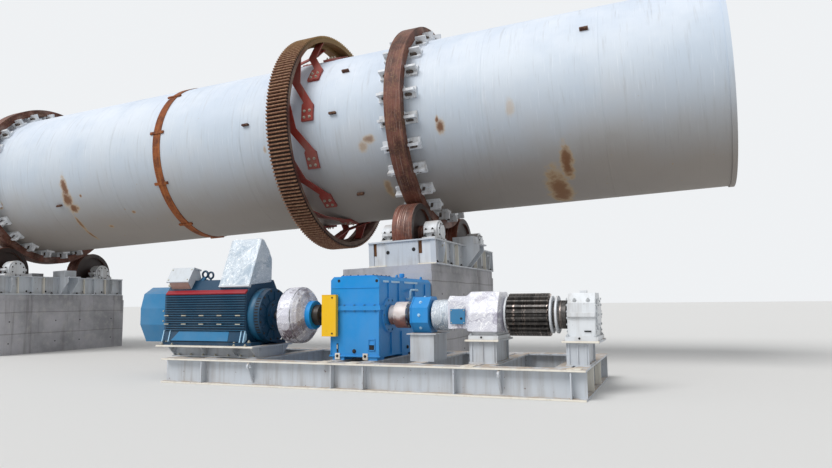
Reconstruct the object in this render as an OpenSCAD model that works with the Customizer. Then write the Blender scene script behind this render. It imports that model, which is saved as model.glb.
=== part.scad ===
// Rotary kiln: an inclined steel drum on two roller stations, with its girth gear,
// and the skid with motor, gearbox and pinion that stands in front of it.
// +X runs along the drum and uphill, +Y away from the skid, +Z up.
// The origin is on the ground, straight below the drum axis at the main tyre.

/* [Drum] */
// Outer radius of the drum shell
shell_r = 2100; // [1900:10:2300]
// Plate thickness of the drum shell
shell_t = 32; // [20:1:50]
// Slope of the drum axis in degrees
slope = 2; // [1:0.1:3]
// Height of the drum axis over the ground at the main tyre
axis_h = 5620; // [5400:10:6000]
// Distance between the two tyres
tyre_span = 13120; // [12000:10:14500]
// Length of drum past each tyre
overhang = 6593; // [5200:10:7500]
// Width of the stiffening ring at each drum end
end_ring_w = 90; // [60:1:140]
// Thickness of the stiffening ring at each drum end
end_ring_t = 24; // [16:1:40]
// Distance from the tail tyre to the shell seam beside it
seam_tail = 2220; // [2000:10:2500]
// Distance from the girth gear to the shell seam beside it
seam_gear = 1480; // [1300:10:1700]

/* [Shell fittings] */
// Distance from the main tyre to the rusty band round the shell
band_x = 6870; // [6400:10:7200]
// Width of the rusty band
band_w = 230; // [150:1:300]
// Thickness of the rusty band
band_t = 16; // [8:1:24]
// Number of clips across the band
band_clips = 10; // [6:1:16]
// Length of a clip along the drum
clip_l = 420; // [320:5:600]
// Width of a clip
clip_w = 70; // [40:1:120]
// Height of a clip over the shell
clip_h = 38; // [26:1:60]
// Size of a lifting lug on the shell
lug_l = 170; // [120:5:240]
// Height of a lifting lug
lug_h = 70; // [40:1:100]
// Thickness of a lifting lug
lug_t = 46; // [30:1:70]
// Distance from the tail tyre to the lug beside it
lug_tail = 2650; // [2550:10:2800]
// Distance from the girth gear to the lug behind it
lug_gear = 1273; // [1200:1:1350]
// Distance from the main tyre to the three lugs behind it
lug_main = 1470; // [1400:10:1500]
// Distance from the drum's upper end to the lug near it
lug_head = 2598; // [2400:1:2800]

/* [Tyres] */
// Thickness of a tyre
tyre_t = 205; // [170:1:240]
// Width of a tyre
tyre_w = 385; // [340:5:460]
// Height of the pads between shell and tyre
pad_h = 148; // [120:1:170]
// Number of pads round the shell
pad_n = 24; // [16:1:30]
// Width of a pad round the shell
pad_w = 260; // [180:5:320]
// Length of the stop blocks past the tyre face
stop_l = 250; // [150:5:320]
// Height of the stop blocks over the shell
stop_h = 205; // [180:5:240]
// Thickness of a stop block
stop_t = 60; // [40:1:90]

/* [Girth gear] */
// Number of teeth of the girth gear
gear_teeth = 194; // [180:2:200]
// Module of gear and pinion
gear_m = 28; // [27:0.1:28.5]
// Distance from the main tyre to the middle of the gear
gear_x = 2722; // [2600:1:2900]
// Face width of the girth gear
gear_w = 540; // [440:5:600]
// Thickness of the gear rim under the teeth
rim_t = 95; // [70:1:130]
// Depth of the inner flange of the gear
flange_d = 90; // [60:1:120]
// Thickness of the inner flange of the gear
flange_t = 44; // [30:1:60]
// Number of spring plates in each row
spring_n = 12; // [8:1:14]
// Thickness of a spring plate
spring_t = 26; // [16:1:36]
// Width of a spring plate
spring_w = 210; // [160:5:260]
// Distance from the gear middle to the middle of a foot pad
spring_side = 452; // [430:1:520]
// Half length of a foot pad round the shell
foot_half = 200; // [150:5:240]
// Width of a foot pad along the drum
foot_w = 300; // [240:5:340]

/* [Roller stations] */
// Radius of a support roller
roller_r = 680; // [640:5:700]
// Width of a support roller
roller_w = 460; // [440:5:520]
// Angle of the rollers from the vertical below the drum axis
roller_ang = 29; // [27:0.5:32]
// Radius of a roller shaft
shaft_r = 120; // [100:1:130]
// Distance from roller middle to the inner face of a bearing
brg_in = 335; // [300:5:380]
// Length of a roller bearing housing
brg_l = 300; // [260:5:360]
// Outer radius of a roller bearing housing
brg_r = 262; // [240:2:300]
// Height of a roller shaft over the bearing seat
brg_h = 190; // [160:5:220]
// Width of a bearing foot
brg_foot_w = 740; // [640:10:860]
// Height of the base frame
frame_h = 540; // [460:10:560]
// Plate thickness of the base frame
frame_t = 30; // [20:1:40]
// Half width of the base frame across the drum
frame_y = 2230; // [2200:5:2300]
// Width of the girders of the base frame at their top plates
girder_w = 440; // [400:5:480]
// Length of the arms of the base frame past its girders
frame_arm = 410; // [300:10:500]
// Half width of the arms of the base frame
arm_half = 200; // [140:5:260]
// Distance of the lifting lugs of the base frame from the drum's middle plane
lug_y = 1790; // [1700:10:1900]
// Length of a pier from the tyre towards the lower end
pier_low = 1360; // [1200:10:1500]
// Length of a pier from the tyre towards the upper end
pier_up = 710; // [690:10:900]
// Half width of a pier across the drum
pier_y = 2360; // [2340:5:2380]
// Height of the cap on top of a pier
cap_h = 165; // [120:5:240]

/* [Skid] */
// Place of the left end of the skid
skid_x0 = -3250; // [-3400:10:-3150]
// Place of the right end of the skid
skid_x1 = 4230; // [4200:10:4400]
// Place of the front edge of the skid
skid_y0 = -5440; // [-5600:10:-5380]
// Place of the back edge of the skid
skid_y1 = -2400; // [-2480:10:-2380]
// Height of the skid beams
beam_h = 430; // [380:5:480]
// Flange width of the skid beams
beam_w = 300; // [240:5:340]
// Flange thickness of the skid beams
beam_ft = 28; // [20:1:36]
// Web thickness of the skid beams
beam_wt = 18; // [12:1:28]
// Flange width of the cross beams
cross_w = 220; // [160:5:260]
// Height of the shaft line over the ground
drive_h = 1180; // [1150:5:1220]
// Place of the shaft line across the skid
drive_y = -4450; // [-4500:5:-4400]

/* [Motor] */
// Place of the left face of the motor frame
motor_x0 = -3640; // [-3700:5:-3580]
// Length of the motor frame
motor_l = 1870; // [1780:5:1900]
// Half width of the motor frame
motor_half = 520; // [470:5:540]
// Height of the motor frame over the shaft line
motor_up = 665; // [620:5:700]
// Half width of the octagonal fan cowl
cowl_half = 500; // [440:5:520]
// Length of the fan cowl
cowl_l = 620; // [560:5:700]
// Radius of the drive end shield
shield_r = 490; // [430:5:510]
// Length of the drive end shield
shield_l = 280; // [250:5:300]
// Distance from the shaft line down to the motor feet
motor_down = 540; // [500:5:560]
// Radius of the motor shaft
fast_r = 70; // [55:1:85]
// Radius of the motor coupling disc
disc_r = 500; // [420:5:520]
// Thickness of the motor coupling disc
disc_t = 260; // [220:5:300]
// Place of the left face of the motor coupling disc
disc_x = -1130; // [-1180:5:-1100]

/* [Gearbox] */
// Place of the left face of the gearbox
box_x0 = -105; // [-140:5:-60]
// Length of the gearbox along the shaft line
box_l = 920; // [860:5:940]
// Depth of the gearbox across the skid
box_d = 2450; // [2200:10:2450]
// Distance from the shaft line to the gearbox front
box_front = 400; // [340:5:460]
// Gap between the skid beams and the bottom of the gearbox case
box_gap = 50; // [30:5:80]
// Distance from the shaft line up to the joint between case and cover
box_joint = 125; // [110:5:180]
// Distance from the shaft line up to the top of the gearbox
box_up = 658; // [580:1:700]

/* [Pinion line] */
// Number of teeth of the pinion
pinion_teeth = 22; // [20:1:24]
// Face width of the pinion
pinion_w = 640; // [560:5:680]
// Place of the middle of the pinion
pinion_x = 3275; // [3265:1:3290]
// Radius of the discs beside the pinion
rim_disc_r = 290; // [260:5:320]
// Radius of the gearbox output shaft
out_r = 110; // [90:1:120]
// Radius of the pinion shaft
slow_r = 140; // [125:1:155]
// Place of the left pinion bearing
brgl_x = 2405; // [2385:1:2415]
// Length of a pinion bearing body
block_l = 400; // [360:5:410]
// Place of the right pinion bearing
brgr_x = 3910; // [3900:2:3930]
// Width of a pinion bearing body across the skid
block_w = 780; // [640:10:860]
// Distance from the shaft line down to the bearing seats
seat_down = 380; // [360:5:420]
// Half width of the octagonal guard
oct_half = 296; // [260:2:310]
// Place of the left face of the octagonal guard
oct_x = 1330; // [1290:5:1340]
// Length of the octagonal guard
oct_l = 308; // [280:2:340]
// Length of the pedestal under the octagonal guard
ped_l = 414; // [340:2:460]
// Place of the left face of the shaft guard
cover_x = 2010; // [2000:5:2100]
// Radius of the flange at the gearbox output
flange_r = 222; // [200:2:240]
// Radius of the coupling sleeve between the guards
sleeve_r = 240; // [220:2:260]
// Length of the coupling sleeve
sleeve_l = 300; // [240:5:320]

/* [Hidden] */
$fn = 96;

eps = 1;
run_gap = 0.08;
seat_gap = 0.3;
move_gap = 12;

// Colours
shell_c = "#DDE3EE";
frame_c = "#D5D8DC";
rust_c = "#6B4038";
red_c = "#8B2A1F";
stone_c = "#9A9C9E";
motor_c = "#1F3A4D";
cowl_c = "#8FB7CE";
box_c = "#1780C8";
guard_c = "#E8B800";
steel_c = "#8A8C90";
dark_c = "#3A3F45";

// Drum
drum_x0 = -tyre_span - overhang;
drum_x1 = overhang;
seam_a = -tyre_span + seam_tail;
seam_b = -gear_x - seam_gear;
tyre_in = shell_r + pad_h;
tyre_r = tyre_in + tyre_t;
gear_root_r = gear_m * (gear_teeth / 2 - 1.25);
rim_in = gear_root_r - rim_t;
flange_in = rim_in - flange_d;

// Roller stations, measured from the drum axis
centre_d = tyre_r + roller_r + seat_gap;
roller_y = centre_d * sin(roller_ang);
roller_z = -centre_d * cos(roller_ang);
frame_top = roller_z - brg_h;
frame_bot = frame_top - frame_h;
brg_out = brg_in + brg_l;
shaft_end = brg_out - 50;
girder_in = brg_in + 15;
flange_out = girder_in + girder_w - 25;
girder_out = flange_out - 85;
cap_step = 20;
bed_gap = 0.05;

// Motor
motor_x1 = motor_x0 + motor_l;
stand_h = drive_h - motor_down;
stand_x0 = motor_x0 - 30;
stand_x1 = motor_x1 + 270;
stand_y0 = drive_y - 700;
stand_y1 = drive_y + 580;
plate_t = 30;
web_t = 20;
stand_back = 240;
foot_past = 130;

// Motor outline from its feet up, heights over the feet or over the shaft line
flare = 40;
flare_h = 60;
waist_in = 60;
waist_h = 130;
side_h = 250;
shoulder_z = 400;
shoulder_in = 50;
roof_in = 200;

// Gearbox
box_x1 = box_x0 + box_l;
box_z0 = beam_h + box_gap;
box_zj = drive_h + box_joint;
box_z1 = drive_h + box_up;
box_y0 = drive_y - box_front;
box_y1 = box_y0 + box_d;
shaft_in = 120;
foot_in = 40;
box_lip = 30;
seal_l = 40;

// Pinion line
seat_h = drive_h - seat_down;
ped_mid = oct_x + oct_l / 2 + 60;
ped_top = drive_h - oct_half - bed_gap;
sleeve_x = ped_mid + 146;
stand_edge = 80;
stand_edge_r = 60;
cross_xs = [
    skid_x0 + cross_w / 2, (skid_x0 + stand_x1) / 2 - 70, stand_x1 - 80,
    box_x0 + foot_in + cross_w / 2, box_x1 - foot_in - cross_w / 2,
    ped_mid, brgl_x + 90, brgl_x + block_l - 60, brgr_x - 50, skid_x1 - cross_w / 2
];

// Places on the sloping drum axis, with the main tyre at zero
module on_axis() {
    translate([0, 0, axis_h]) rotate([0, -slope, 0]) children();
}

// A round bar along X
module bar_x(x0, x1, r) {
    translate([x0, 0, 0]) rotate([0, 90, 0]) cylinder(h = x1 - x0, r = r);
}

// A round tube along X
module tube_x(x0, x1, r_out, r_in) {
    difference() {
        bar_x(x0, x1, r_out);
        bar_x(x0 - eps, x1 + eps, r_in);
    }
}

// A box given by its two corners
module block(a, b) {
    translate(a) cube(b - a);
}

// An outline in the plane across X, pushed along X
module extrude_x(x0, x1) {
    translate([x0, 0, 0]) rotate([90, 0, 90]) linear_extrude(x1 - x0) children();
}

// Points of a toothed wheel with straight flanks
function wheel_points(teeth, m) = [
    for (i = [0 : teeth - 1], k = [0 : 3])
        let (
            pitch = 360 / teeth,
            r = (k == 0 || k == 3) ? m * teeth / 2 - 1.25 * m : m * teeth / 2 + m,
            part = [-0.34, -0.14, 0.14, 0.34][k],
            a = (i + part) * pitch
        )
        [r * cos(a), r * sin(a)]
];

module shell_course(x0, x1) {
    color(shell_c) on_axis() tube_x(x0, x1, shell_r, shell_r - shell_t);
}

module shell_tail() {
    shell_course(drum_x0, seam_a);
}

module shell_middle() {
    shell_course(seam_a, seam_b);
}

module shell_head() {
    shell_course(seam_b, drum_x1);
}

module end_ring(x0) {
    color(shell_c) on_axis() tube_x(x0, x0 + end_ring_w, shell_r + end_ring_t, shell_r);
}

module end_ring_tail() {
    end_ring(drum_x0);
}

module end_ring_head() {
    end_ring(drum_x1 - end_ring_w);
}

module tyre(x) {
    color(rust_c) on_axis() tube_x(x - tyre_w / 2, x + tyre_w / 2, tyre_r, tyre_in);
}

module tyre_tail() {
    tyre(-tyre_span);
}

module tyre_main() {
    tyre(0);
}

// Pads that carry a tyre, each with a stop block at both faces of the tyre
module tyre_pads(x) {
    half = tyre_w / 2;
    reach = half + stop_l;
    sink = 20;
    color(frame_c) on_axis() translate([x, 0, 0]) difference() {
        for (i = [0 : pad_n - 1]) rotate([(i + 0.5) * 360 / pad_n, 0, 0]) {
            block([-reach, -pad_w / 2, shell_r - sink], [reach, pad_w / 2, shell_r + pad_h * 0.35]);
            block([-half, -pad_w / 2, shell_r - sink], [half, pad_w / 2, tyre_in + sink]);
            for (s = [-1, 1])
                translate([s * (half + stop_l / 2), 0, shell_r - sink])
                    translate([-stop_l / 2, -stop_t / 2, 0]) cube([stop_l, stop_t, stop_h + sink]);
        }
        bar_x(-reach - eps, reach + eps, shell_r);
        tube_x(-half - seat_gap, half + seat_gap, tyre_r, tyre_in);
    }
}

module tyre_pads_tail() {
    tyre_pads(-tyre_span);
}

module tyre_pads_main() {
    tyre_pads(0);
}

module girth_gear() {
    color(rust_c) on_axis() translate([-gear_x - gear_w / 2, 0, 0]) rotate([0, 90, 0]) {
        difference() {
            linear_extrude(gear_w) polygon(wheel_points(gear_teeth, gear_m));
            translate([0, 0, -eps]) cylinder(h = gear_w + 2 * eps, r = rim_in);
        }
        translate([0, 0, gear_w / 2 - flange_t / 2]) difference() {
            cylinder(h = flange_t, r = rim_in + eps);
            translate([0, 0, -eps]) cylinder(h = flange_t + 2 * eps, r = flange_in);
        }
    }
}

// One spring plate: a foot pad on the shell, a slanting neck and a straight end at the gear
module spring_plate(side) {
    foot_mid = side * spring_side;
    end_mid = side * (flange_t / 2 + spring_w / 2);
    seat_r = shell_r + spring_t;
    reach = sqrt(rim_in * rim_in - pow(seat_r + spring_t, 2)) - 10;
    neck = foot_half * 1.3;
    bend = reach * 0.55;
    translate([0, 0, shell_r - 5]) linear_extrude(spring_t + 5)
        translate([foot_mid - foot_w / 2, -foot_half]) square([foot_w, 2 * foot_half]);
    translate([0, 0, seat_r]) linear_extrude(spring_t) polygon([
        [foot_mid - foot_w / 2, -foot_half],
        [foot_mid + foot_w / 2, -foot_half],
        [foot_mid + foot_w / 2, foot_half],
        [foot_mid + spring_w / 2, neck],
        [end_mid + spring_w / 2, bend],
        [end_mid + spring_w / 2, reach],
        [end_mid - spring_w / 2, reach],
        [end_mid - spring_w / 2, bend],
        [foot_mid - spring_w / 2, neck],
        [foot_mid - foot_w / 2, foot_half]
    ]);
}

module gear_springs() {
    pitch = 360 / spring_n;
    color(red_c) on_axis() translate([-gear_x, 0, 0]) difference() {
        for (i = [0 : spring_n - 1], side = [-1, 1])
            rotate([(i + (side > 0 ? -0.2 : 0.3)) * pitch, 0, 0]) spring_plate(side);
        bar_x(-2 * spring_side, 2 * spring_side, shell_r);
    }
}

module shell_band() {
    sink = 20;
    mid = -band_x + band_w / 2;
    color(rust_c) on_axis() difference() {
        union() {
            bar_x(-band_x, -band_x + band_w, shell_r + band_t);
            for (i = [0 : band_clips - 1])
                rotate([(i + 0.2) * 360 / band_clips, 0, 0])
                    translate([mid - clip_l / 2, -clip_w / 2, shell_r - sink])
                        cube([clip_l, clip_w, clip_h + sink]);
        }
        bar_x(mid - clip_l, mid + clip_l, shell_r);
    }
}

// Lifting lugs: distance from the main tyre and angle from the top towards the skid
lug_places = [
    [-tyre_span + lug_tail, 121], [-gear_x - lug_gear, 85], [-lug_main - 143, 87],
    [-lug_main + 35, 56], [-lug_main + 113, 141], [drum_x1 - lug_head, 60]
];

module shell_lugs() {
    color(dark_c) on_axis() difference() {
        for (p = lug_places, s = [-1, 1])
            rotate([s * p[1], 0, 0]) translate([p[0] - lug_l / 2, -lug_t / 2, shell_r - 4])
                cube([lug_l, lug_t, lug_h + 4]);
        bar_x(drum_x0, drum_x1, shell_r);
    }
}

// A pier with a cap that is set back, its top parallel to the drum axis
module pier(x) {
    mid = x * cos(slope) - frame_bot * sin(slope);
    top = axis_h + x * sin(slope) + frame_bot * cos(slope) - bed_gap;
    x0 = mid - pier_low;
    x1 = mid + pier_up;
    top0 = top - pier_low * tan(slope);
    top1 = top + pier_up * tan(slope);
    c = cap_step;
    color(stone_c) {
        translate([0, pier_y, 0]) rotate([90, 0, 0]) linear_extrude(2 * pier_y)
            polygon([[x0, 0], [x1, 0], [x1, top1 - cap_h], [x0, top0 - cap_h]]);
        translate([0, pier_y - c, 0]) rotate([90, 0, 0]) linear_extrude(2 * (pier_y - c)) polygon([
            [x0 + c, top0 - 2 * cap_h], [x1 - c, top1 - 2 * cap_h],
            [x1 - c, top1 - c * tan(slope)], [x0 + c, top0 + c * tan(slope)]
        ]);
    }
}

module pier_main() {
    pier(0);
}

module pier_tail() {
    pier(-tyre_span);
}

// Lifting lug at the side of a girder, with its hole past the top plate
module frame_lug() {
    rotate([90, 0, 0]) translate([0, 0, -frame_t / 2]) linear_extrude(frame_t) difference() {
        polygon([
            [girder_out - eps, frame_top - frame_t], [flange_out + 60, frame_top - 2 * frame_t],
            [flange_out + 60, frame_top - 200], [flange_out, frame_bot + 60],
            [girder_out - eps, frame_bot + 60]
        ]);
        translate([flange_out, frame_top - 135]) circle(r = 32);
    }
}

// Arm at the side of a girder: a top plate on two gussets, and a low box on it
module frame_arm_box() {
    tip = flange_out + frame_arm;
    block([girder_out - eps, -arm_half, frame_top - frame_t], [tip, arm_half, frame_top]);
    block([girder_in + 110, -arm_half, frame_top - eps], [tip - 200, arm_half, frame_top + 200]);
    for (y = [-arm_half, arm_half - frame_t])
        translate([0, y + frame_t, 0]) rotate([90, 0, 0]) linear_extrude(frame_t) polygon([
            [girder_out - eps, frame_top - frame_t + eps], [tip - 70, frame_top - frame_t + eps],
            [tip - 70, frame_top - 150], [flange_out + 20, frame_bot + frame_t],
            [girder_out - eps, frame_bot + frame_t]
        ]);
}

// Welded frame on a pier: two box girders under the bearings, closed between them at both ends
module base_frame(x) {
    web = frame_t;
    z0 = frame_bot + web - eps;
    z1 = frame_top - web + eps;
    end_y = frame_y - 130;
    color(frame_c) on_axis() translate([x, 0, 0]) {
        block([-flange_out, -frame_y, frame_bot], [flange_out, frame_y, frame_bot + web]);
        for (s = [0, 1]) mirror([s, 0, 0]) {
            block([girder_in - 25, -frame_y, frame_top - web], [flange_out, frame_y, frame_top]);
            for (px = [girder_in, girder_out - web])
                block([px, -frame_y, z0], [px + web, frame_y, z1]);
            for (y = [-end_y, -roller_y, 0, roller_y, end_y])
                block([girder_in, y - web / 2, z0], [girder_out - web / 2, y + web / 2, z1]);
            for (y = [-frame_y, -frame_y / 2, frame_y / 2 - web, frame_y - web])
                block([girder_out - eps, y, z0], [flange_out, y + web, z1]);
            for (y = [-lug_y, lug_y])
                translate([0, y, 0]) frame_lug();
            frame_arm_box();
        }
        for (s = [0, 1]) mirror([0, s, 0]) {
            block([-girder_in - eps, frame_y - web, z0], [girder_in + eps, frame_y, frame_top]);
            block([-flange_out, frame_y - eps, frame_top - web], [flange_out, frame_y + web, frame_top]);
        }
    }
}

module base_frame_main() {
    base_frame(0);
}

module base_frame_tail() {
    base_frame(-tyre_span);
}

// One bearing housing, with a blind bore that opens towards the roller
module roller_bearing() {
    difference() {
        union() {
            bar_x(brg_in, brg_out, brg_r);
            block([brg_in + 30, -brg_r, -brg_h], [brg_out - 30, brg_r, 0]);
            block([brg_in, -brg_foot_w / 2, -brg_h], [brg_out, brg_foot_w / 2, -brg_h + 70]);
            bar_x(brg_out - eps, brg_out + 36, brg_r - 50);
        }
        bar_x(brg_in - eps, shaft_end + 10, shaft_r + run_gap);
        block([0, -brg_foot_w, -2 * brg_r], [2 * brg_out, brg_foot_w, -brg_h]);
    }
}

module bearing_pair(x, side) {
    color(frame_c) on_axis() translate([x, side * roller_y, roller_z])
        for (s = [0, 1]) mirror([s, 0, 0]) roller_bearing();
}

module bearings_main_near() {
    bearing_pair(0, -1);
}

module bearings_main_far() {
    bearing_pair(0, 1);
}

module bearings_tail_near() {
    bearing_pair(-tyre_span, -1);
}

module bearings_tail_far() {
    bearing_pair(-tyre_span, 1);
}

// A roller with rim, thin web and hub on its shaft
module roller(x, side) {
    rim = 130;
    dish = 55;
    half = roller_w / 2;
    collar = shaft_r + 60;
    color(rust_c) on_axis() translate([x, side * roller_y, roller_z]) rotate([0, 90, 0])
        rotate_extrude() polygon([
            [0, -shaft_end], [shaft_r, -shaft_end], [shaft_r, -brg_in + move_gap],
            [collar, -brg_in + move_gap], [collar, -half + dish],
            [roller_r - rim, -half + dish], [roller_r - rim, -half], [roller_r - 12, -half],
            [roller_r, -half + 12], [roller_r, half - 12],
            [roller_r - 12, half], [roller_r - rim, half], [roller_r - rim, half - dish],
            [collar, half - dish], [collar, brg_in - move_gap],
            [shaft_r, brg_in - move_gap], [shaft_r, shaft_end], [0, shaft_end]
        ]);
}

module roller_main_near() {
    roller(0, -1);
}

module roller_main_far() {
    roller(0, 1);
}

module roller_tail_near() {
    roller(-tyre_span, -1);
}

module roller_tail_far() {
    roller(-tyre_span, 1);
}

// Lifting lug of the skid, drawn outwards from the web: a tapered plate with a round nose
module skid_lug_outline() {
    nose_r = 60;
    nose = [beam_w / 2 - 20, beam_h - 100];
    difference() {
        union() {
            translate(nose) circle(r = nose_r);
            polygon([
                [0, beam_ft - eps], [nose[0] + 0.65 * nose_r, nose[1] - 0.6 * nose_r],
                [nose[0], nose[1] + 0.9 * nose_r], [0, beam_h - beam_ft + eps]
            ]);
        }
        translate(nose) circle(r = 0.55 * nose_r);
    }
}

// Outline of an I-beam with its web in the middle
module i_outline(w, h, ft, wt) {
    translate([-w / 2, 0]) square([w, ft]);
    translate([-w / 2, h - ft]) square([w, ft]);
    translate([-wt / 2, 0]) square([wt, h]);
}

module skid_frame() {
    web_front = skid_y0 + beam_w / 2;
    web_back = skid_y1 - beam_w / 2;
    rib_xs = [
        skid_x0 + 0.116 * (skid_x1 - skid_x0), box_x0 + box_l / 3, box_x1 - foot_in, brgl_x - 120,
        skid_x1 - cross_w
    ];
    lug_xs = [stand_x1 + 120, pinion_x - pinion_w / 2 + 20];
    color(frame_c) {
        for (y = [web_front, web_back])
            translate([0, y, 0]) extrude_x(skid_x0, skid_x1) i_outline(beam_w, beam_h, beam_ft, beam_wt);
        for (x = cross_xs)
            translate([x, web_back, 0]) rotate([90, 0, 0]) linear_extrude(web_back - web_front)
                i_outline(cross_w, beam_h, beam_ft, beam_wt);
        for (x = rib_xs, y = [skid_y0 + 12, skid_y1 - beam_w / 2])
            block([x, y, beam_ft - eps], [x + beam_wt, y + beam_w / 2 - 12, beam_h - beam_ft + eps]);
        for (x = lug_xs, s = [0, 1])
            translate([x, s == 0 ? web_front : web_back, 0]) mirror([0, 1 - s, 0])
                extrude_x(0, frame_t) skid_lug_outline();
    }
}

// Top plate on a frame of webs, with sloping ribs under the front edge
module motor_stand() {
    z0 = beam_h;
    z1 = stand_h - plate_t;
    inner0 = stand_y0 + stand_back;
    inner1 = stand_y1 - stand_back;
    color(frame_c) {
        block([stand_x0, stand_y0, z1], [stand_x1, stand_y1, stand_h]);
        for (y = [inner0, inner1 - web_t])
            block([stand_x0 + 230, y, z0], [stand_x1 - 40, y + web_t, z1 + eps]);
        for (share = [0.115, 0.461, 0.77, 0.964])
            translate([stand_x0 + share * (stand_x1 - stand_x0), 0, 0]) extrude_x(0, web_t) polygon([
                [inner0, z0], [inner1, z0], [stand_y1 - 30, z1 + eps], [stand_y0 + 30, z1 + eps]
            ]);
        for (y = [inner0, inner1])
            block([stand_x0 + 230, y - 60, z0], [stand_x1 - 40, y + 60, z0 + web_t]);
    }
}

// Outline of the motor frame across the shaft
module motor_outline() {
    w = motor_half;
    foot_z = stand_h - drive_h;
    half = [
        [w + flare, foot_z], [w + flare, foot_z + flare_h], [w - waist_in, foot_z + waist_h],
        [w, foot_z + side_h], [w, shoulder_z], [w - shoulder_in, shoulder_z + flare],
        [w - roof_in, motor_up]
    ];
    polygon([for (p = half) p, for (i = [len(half) - 1 : -1 : 0]) [-half[i][0], half[i][1]]]);
}

module on_drive() {
    translate([0, drive_y, drive_h]) children();
}

// Motor frame, with its feet running on past the right end
module motor_body() {
    w = motor_half + flare;
    foot_z = stand_h - drive_h;
    color(motor_c) on_drive() {
        extrude_x(motor_x0, motor_x1) motor_outline();
        for (s = [0, 1]) mirror([0, s, 0])
            block([motor_x1 - eps, 0.4 * w, foot_z], [motor_x1 + foot_past, w, foot_z + flare_h]);
    }
}

// Fan cowl with ten flat sides, wider than high at its shoulders
module motor_fan_cowl() {
    w = cowl_half;
    low = -0.34 * w;
    high = 0.28 * w;
    color(cowl_c) on_drive() extrude_x(motor_x0 - cowl_l, motor_x0 - bed_gap) polygon([
        [-0.66 * w, -w], [0.66 * w, -w], [w, low], [w, high], [0.84 * w, 0.84 * w], [0.4 * w, 1.1 * w],
        [-0.4 * w, 1.1 * w], [-0.84 * w, 0.84 * w], [-w, high], [-w, low]
    ]);
}

module motor_end_shield() {
    color(motor_c) on_drive() difference() {
        union() {
            bar_x(motor_x1, motor_x1 + shield_l * 0.88, shield_r);
            bar_x(motor_x1, motor_x1 + shield_l, shield_r * 0.55);
        }
        bar_x(motor_x1 + shield_l - shaft_in - 10, motor_x1 + shield_l + eps, fast_r + run_gap);
    }
}

// Small box that leans on the left shoulder of the motor frame
module terminal_box_small() {
    color("#C9CED2") on_drive() difference() {
        extrude_x(motor_x0 + 70, motor_x0 + 540) polygon([
            [-520, 645], [-400, 480], [-120, 600], [-210, 856], [-373, 886]
        ]);
        extrude_x(motor_x0 - eps, motor_x1) motor_outline();
    }
}

// Large box with a leaning front on the right end of the motor frame
module terminal_box_large() {
    color("#7FA9C4") on_drive() difference() {
        extrude_x(motor_x1 - 640, motor_x1 - 10) polygon([
            [-400, 480], [240, 600], [250, 1060], [150, 1240], [-20, 1420], [-106, 1420], [-465, 540]
        ]);
        extrude_x(motor_x0, motor_x1) motor_outline();
    }
}

module motor_lifting_eyes() {
    color(motor_c) on_drive() for (p = [[motor_x0 + 610, -130], [motor_x0 + 440, 240]])
        translate([p[0], p[1], motor_up]) {
            cylinder(h = 24, r = 60);
            cylinder(h = 70, r = 22);
            translate([0, 0, 120]) rotate([0, 90, 90]) rotate_extrude() translate([62, 0]) circle(r = 20);
        }
}

// Rings round both shafts where they enter the gearbox
module gearbox_seals() {
    on_drive() bar_x(box_x0 - seal_l, box_x0 + eps, fast_r + 90);
    on_drive() bar_x(box_x1 - eps, box_x1 + seal_l, out_r + 60);
}

module gearbox_case() {
    color(box_c) difference() {
        union() {
            block([box_x0, box_y0, box_z0], [box_x1, box_y1, box_zj]);
            block([box_x0 - box_lip, box_y0 - box_lip, box_zj - 40], [box_x1 + box_lip, box_y1, box_zj]);
            for (y = [box_y0 + 60, (box_y0 + box_y1) / 2 - 110, box_y1 - 280])
                for (x = [box_x0 + foot_in, box_x1 - foot_in - cross_w])
                    block([x, y - 60, beam_h], [x + cross_w, y + 220, box_z0 + eps]);
            gearbox_seals();
        }
        on_drive() bar_x(box_x0 - seal_l - eps, box_x0 + shaft_in + 10, fast_r + run_gap);
        on_drive() bar_x(box_x1 - shaft_in - 10, box_x1 + seal_l + eps, out_r + run_gap);
    }
}

module gearbox_cover() {
    c = 60;
    color(box_c) difference() {
        union() {
            translate([0, box_y1, 0]) rotate([90, 0, 0]) linear_extrude(box_y1 - box_y0) polygon([
                [box_x0, box_zj], [box_x1, box_zj], [box_x1, box_z1 - c], [box_x1 - c, box_z1],
                [box_x0 + c, box_z1], [box_x0, box_z1 - c]
            ]);
            block([box_x0 - box_lip, box_y0 - box_lip, box_zj], [box_x1 + box_lip, box_y1, box_zj + 40]);
        }
        gearbox_seals();
    }
}

// Flat guard over the input coupling, with a lip that lies on the gearbox front
module input_guard() {
    half = 353;
    x0 = box_x0 - 117;
    color(guard_c) difference() {
        union() {
            block([x0, box_y0 - 110, drive_h - half], [box_x0 - 30, drive_y + half, drive_h + half]);
            block([x0, box_y0 - 110, drive_h - half], [box_x0 + 155, box_y0 - box_lip, drive_h + half]);
        }
        on_drive() bar_x(x0 - eps, box_x0 - 30 + eps, fast_r + 100);
    }
}

module octagon_guard() {
    color(box_c) on_drive() difference() {
        translate([oct_x, 0, 0]) rotate([0, 90, 0]) rotate([0, 0, 22.5])
            cylinder(h = oct_l, r = oct_half / cos(22.5), $fn = 8);
        bar_x(oct_x - eps, oct_x + oct_l + eps, out_r + 60);
    }
}

module guard_pedestal() {
    half = ped_l / 2;
    w = oct_half + 22;
    z1 = ped_top - web_t;
    color(frame_c) {
        block([ped_mid - half, drive_y - w, beam_h], [ped_mid + half, drive_y + w, z1]);
        block([ped_mid - half - 48, drive_y - w - 40, z1], [ped_mid + half + 48, drive_y + w + 40, ped_top]);
    }
}

// Closed cover between the coupling sleeve and the left pinion bearing
module shaft_guard() {
    color("#8FA9BE") on_drive() difference() {
        block([cover_x, -300, -200], [brgl_x, 300, 220]);
        bar_x(cover_x - eps, brgl_x + eps, slow_r + 50);
    }
}

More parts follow.
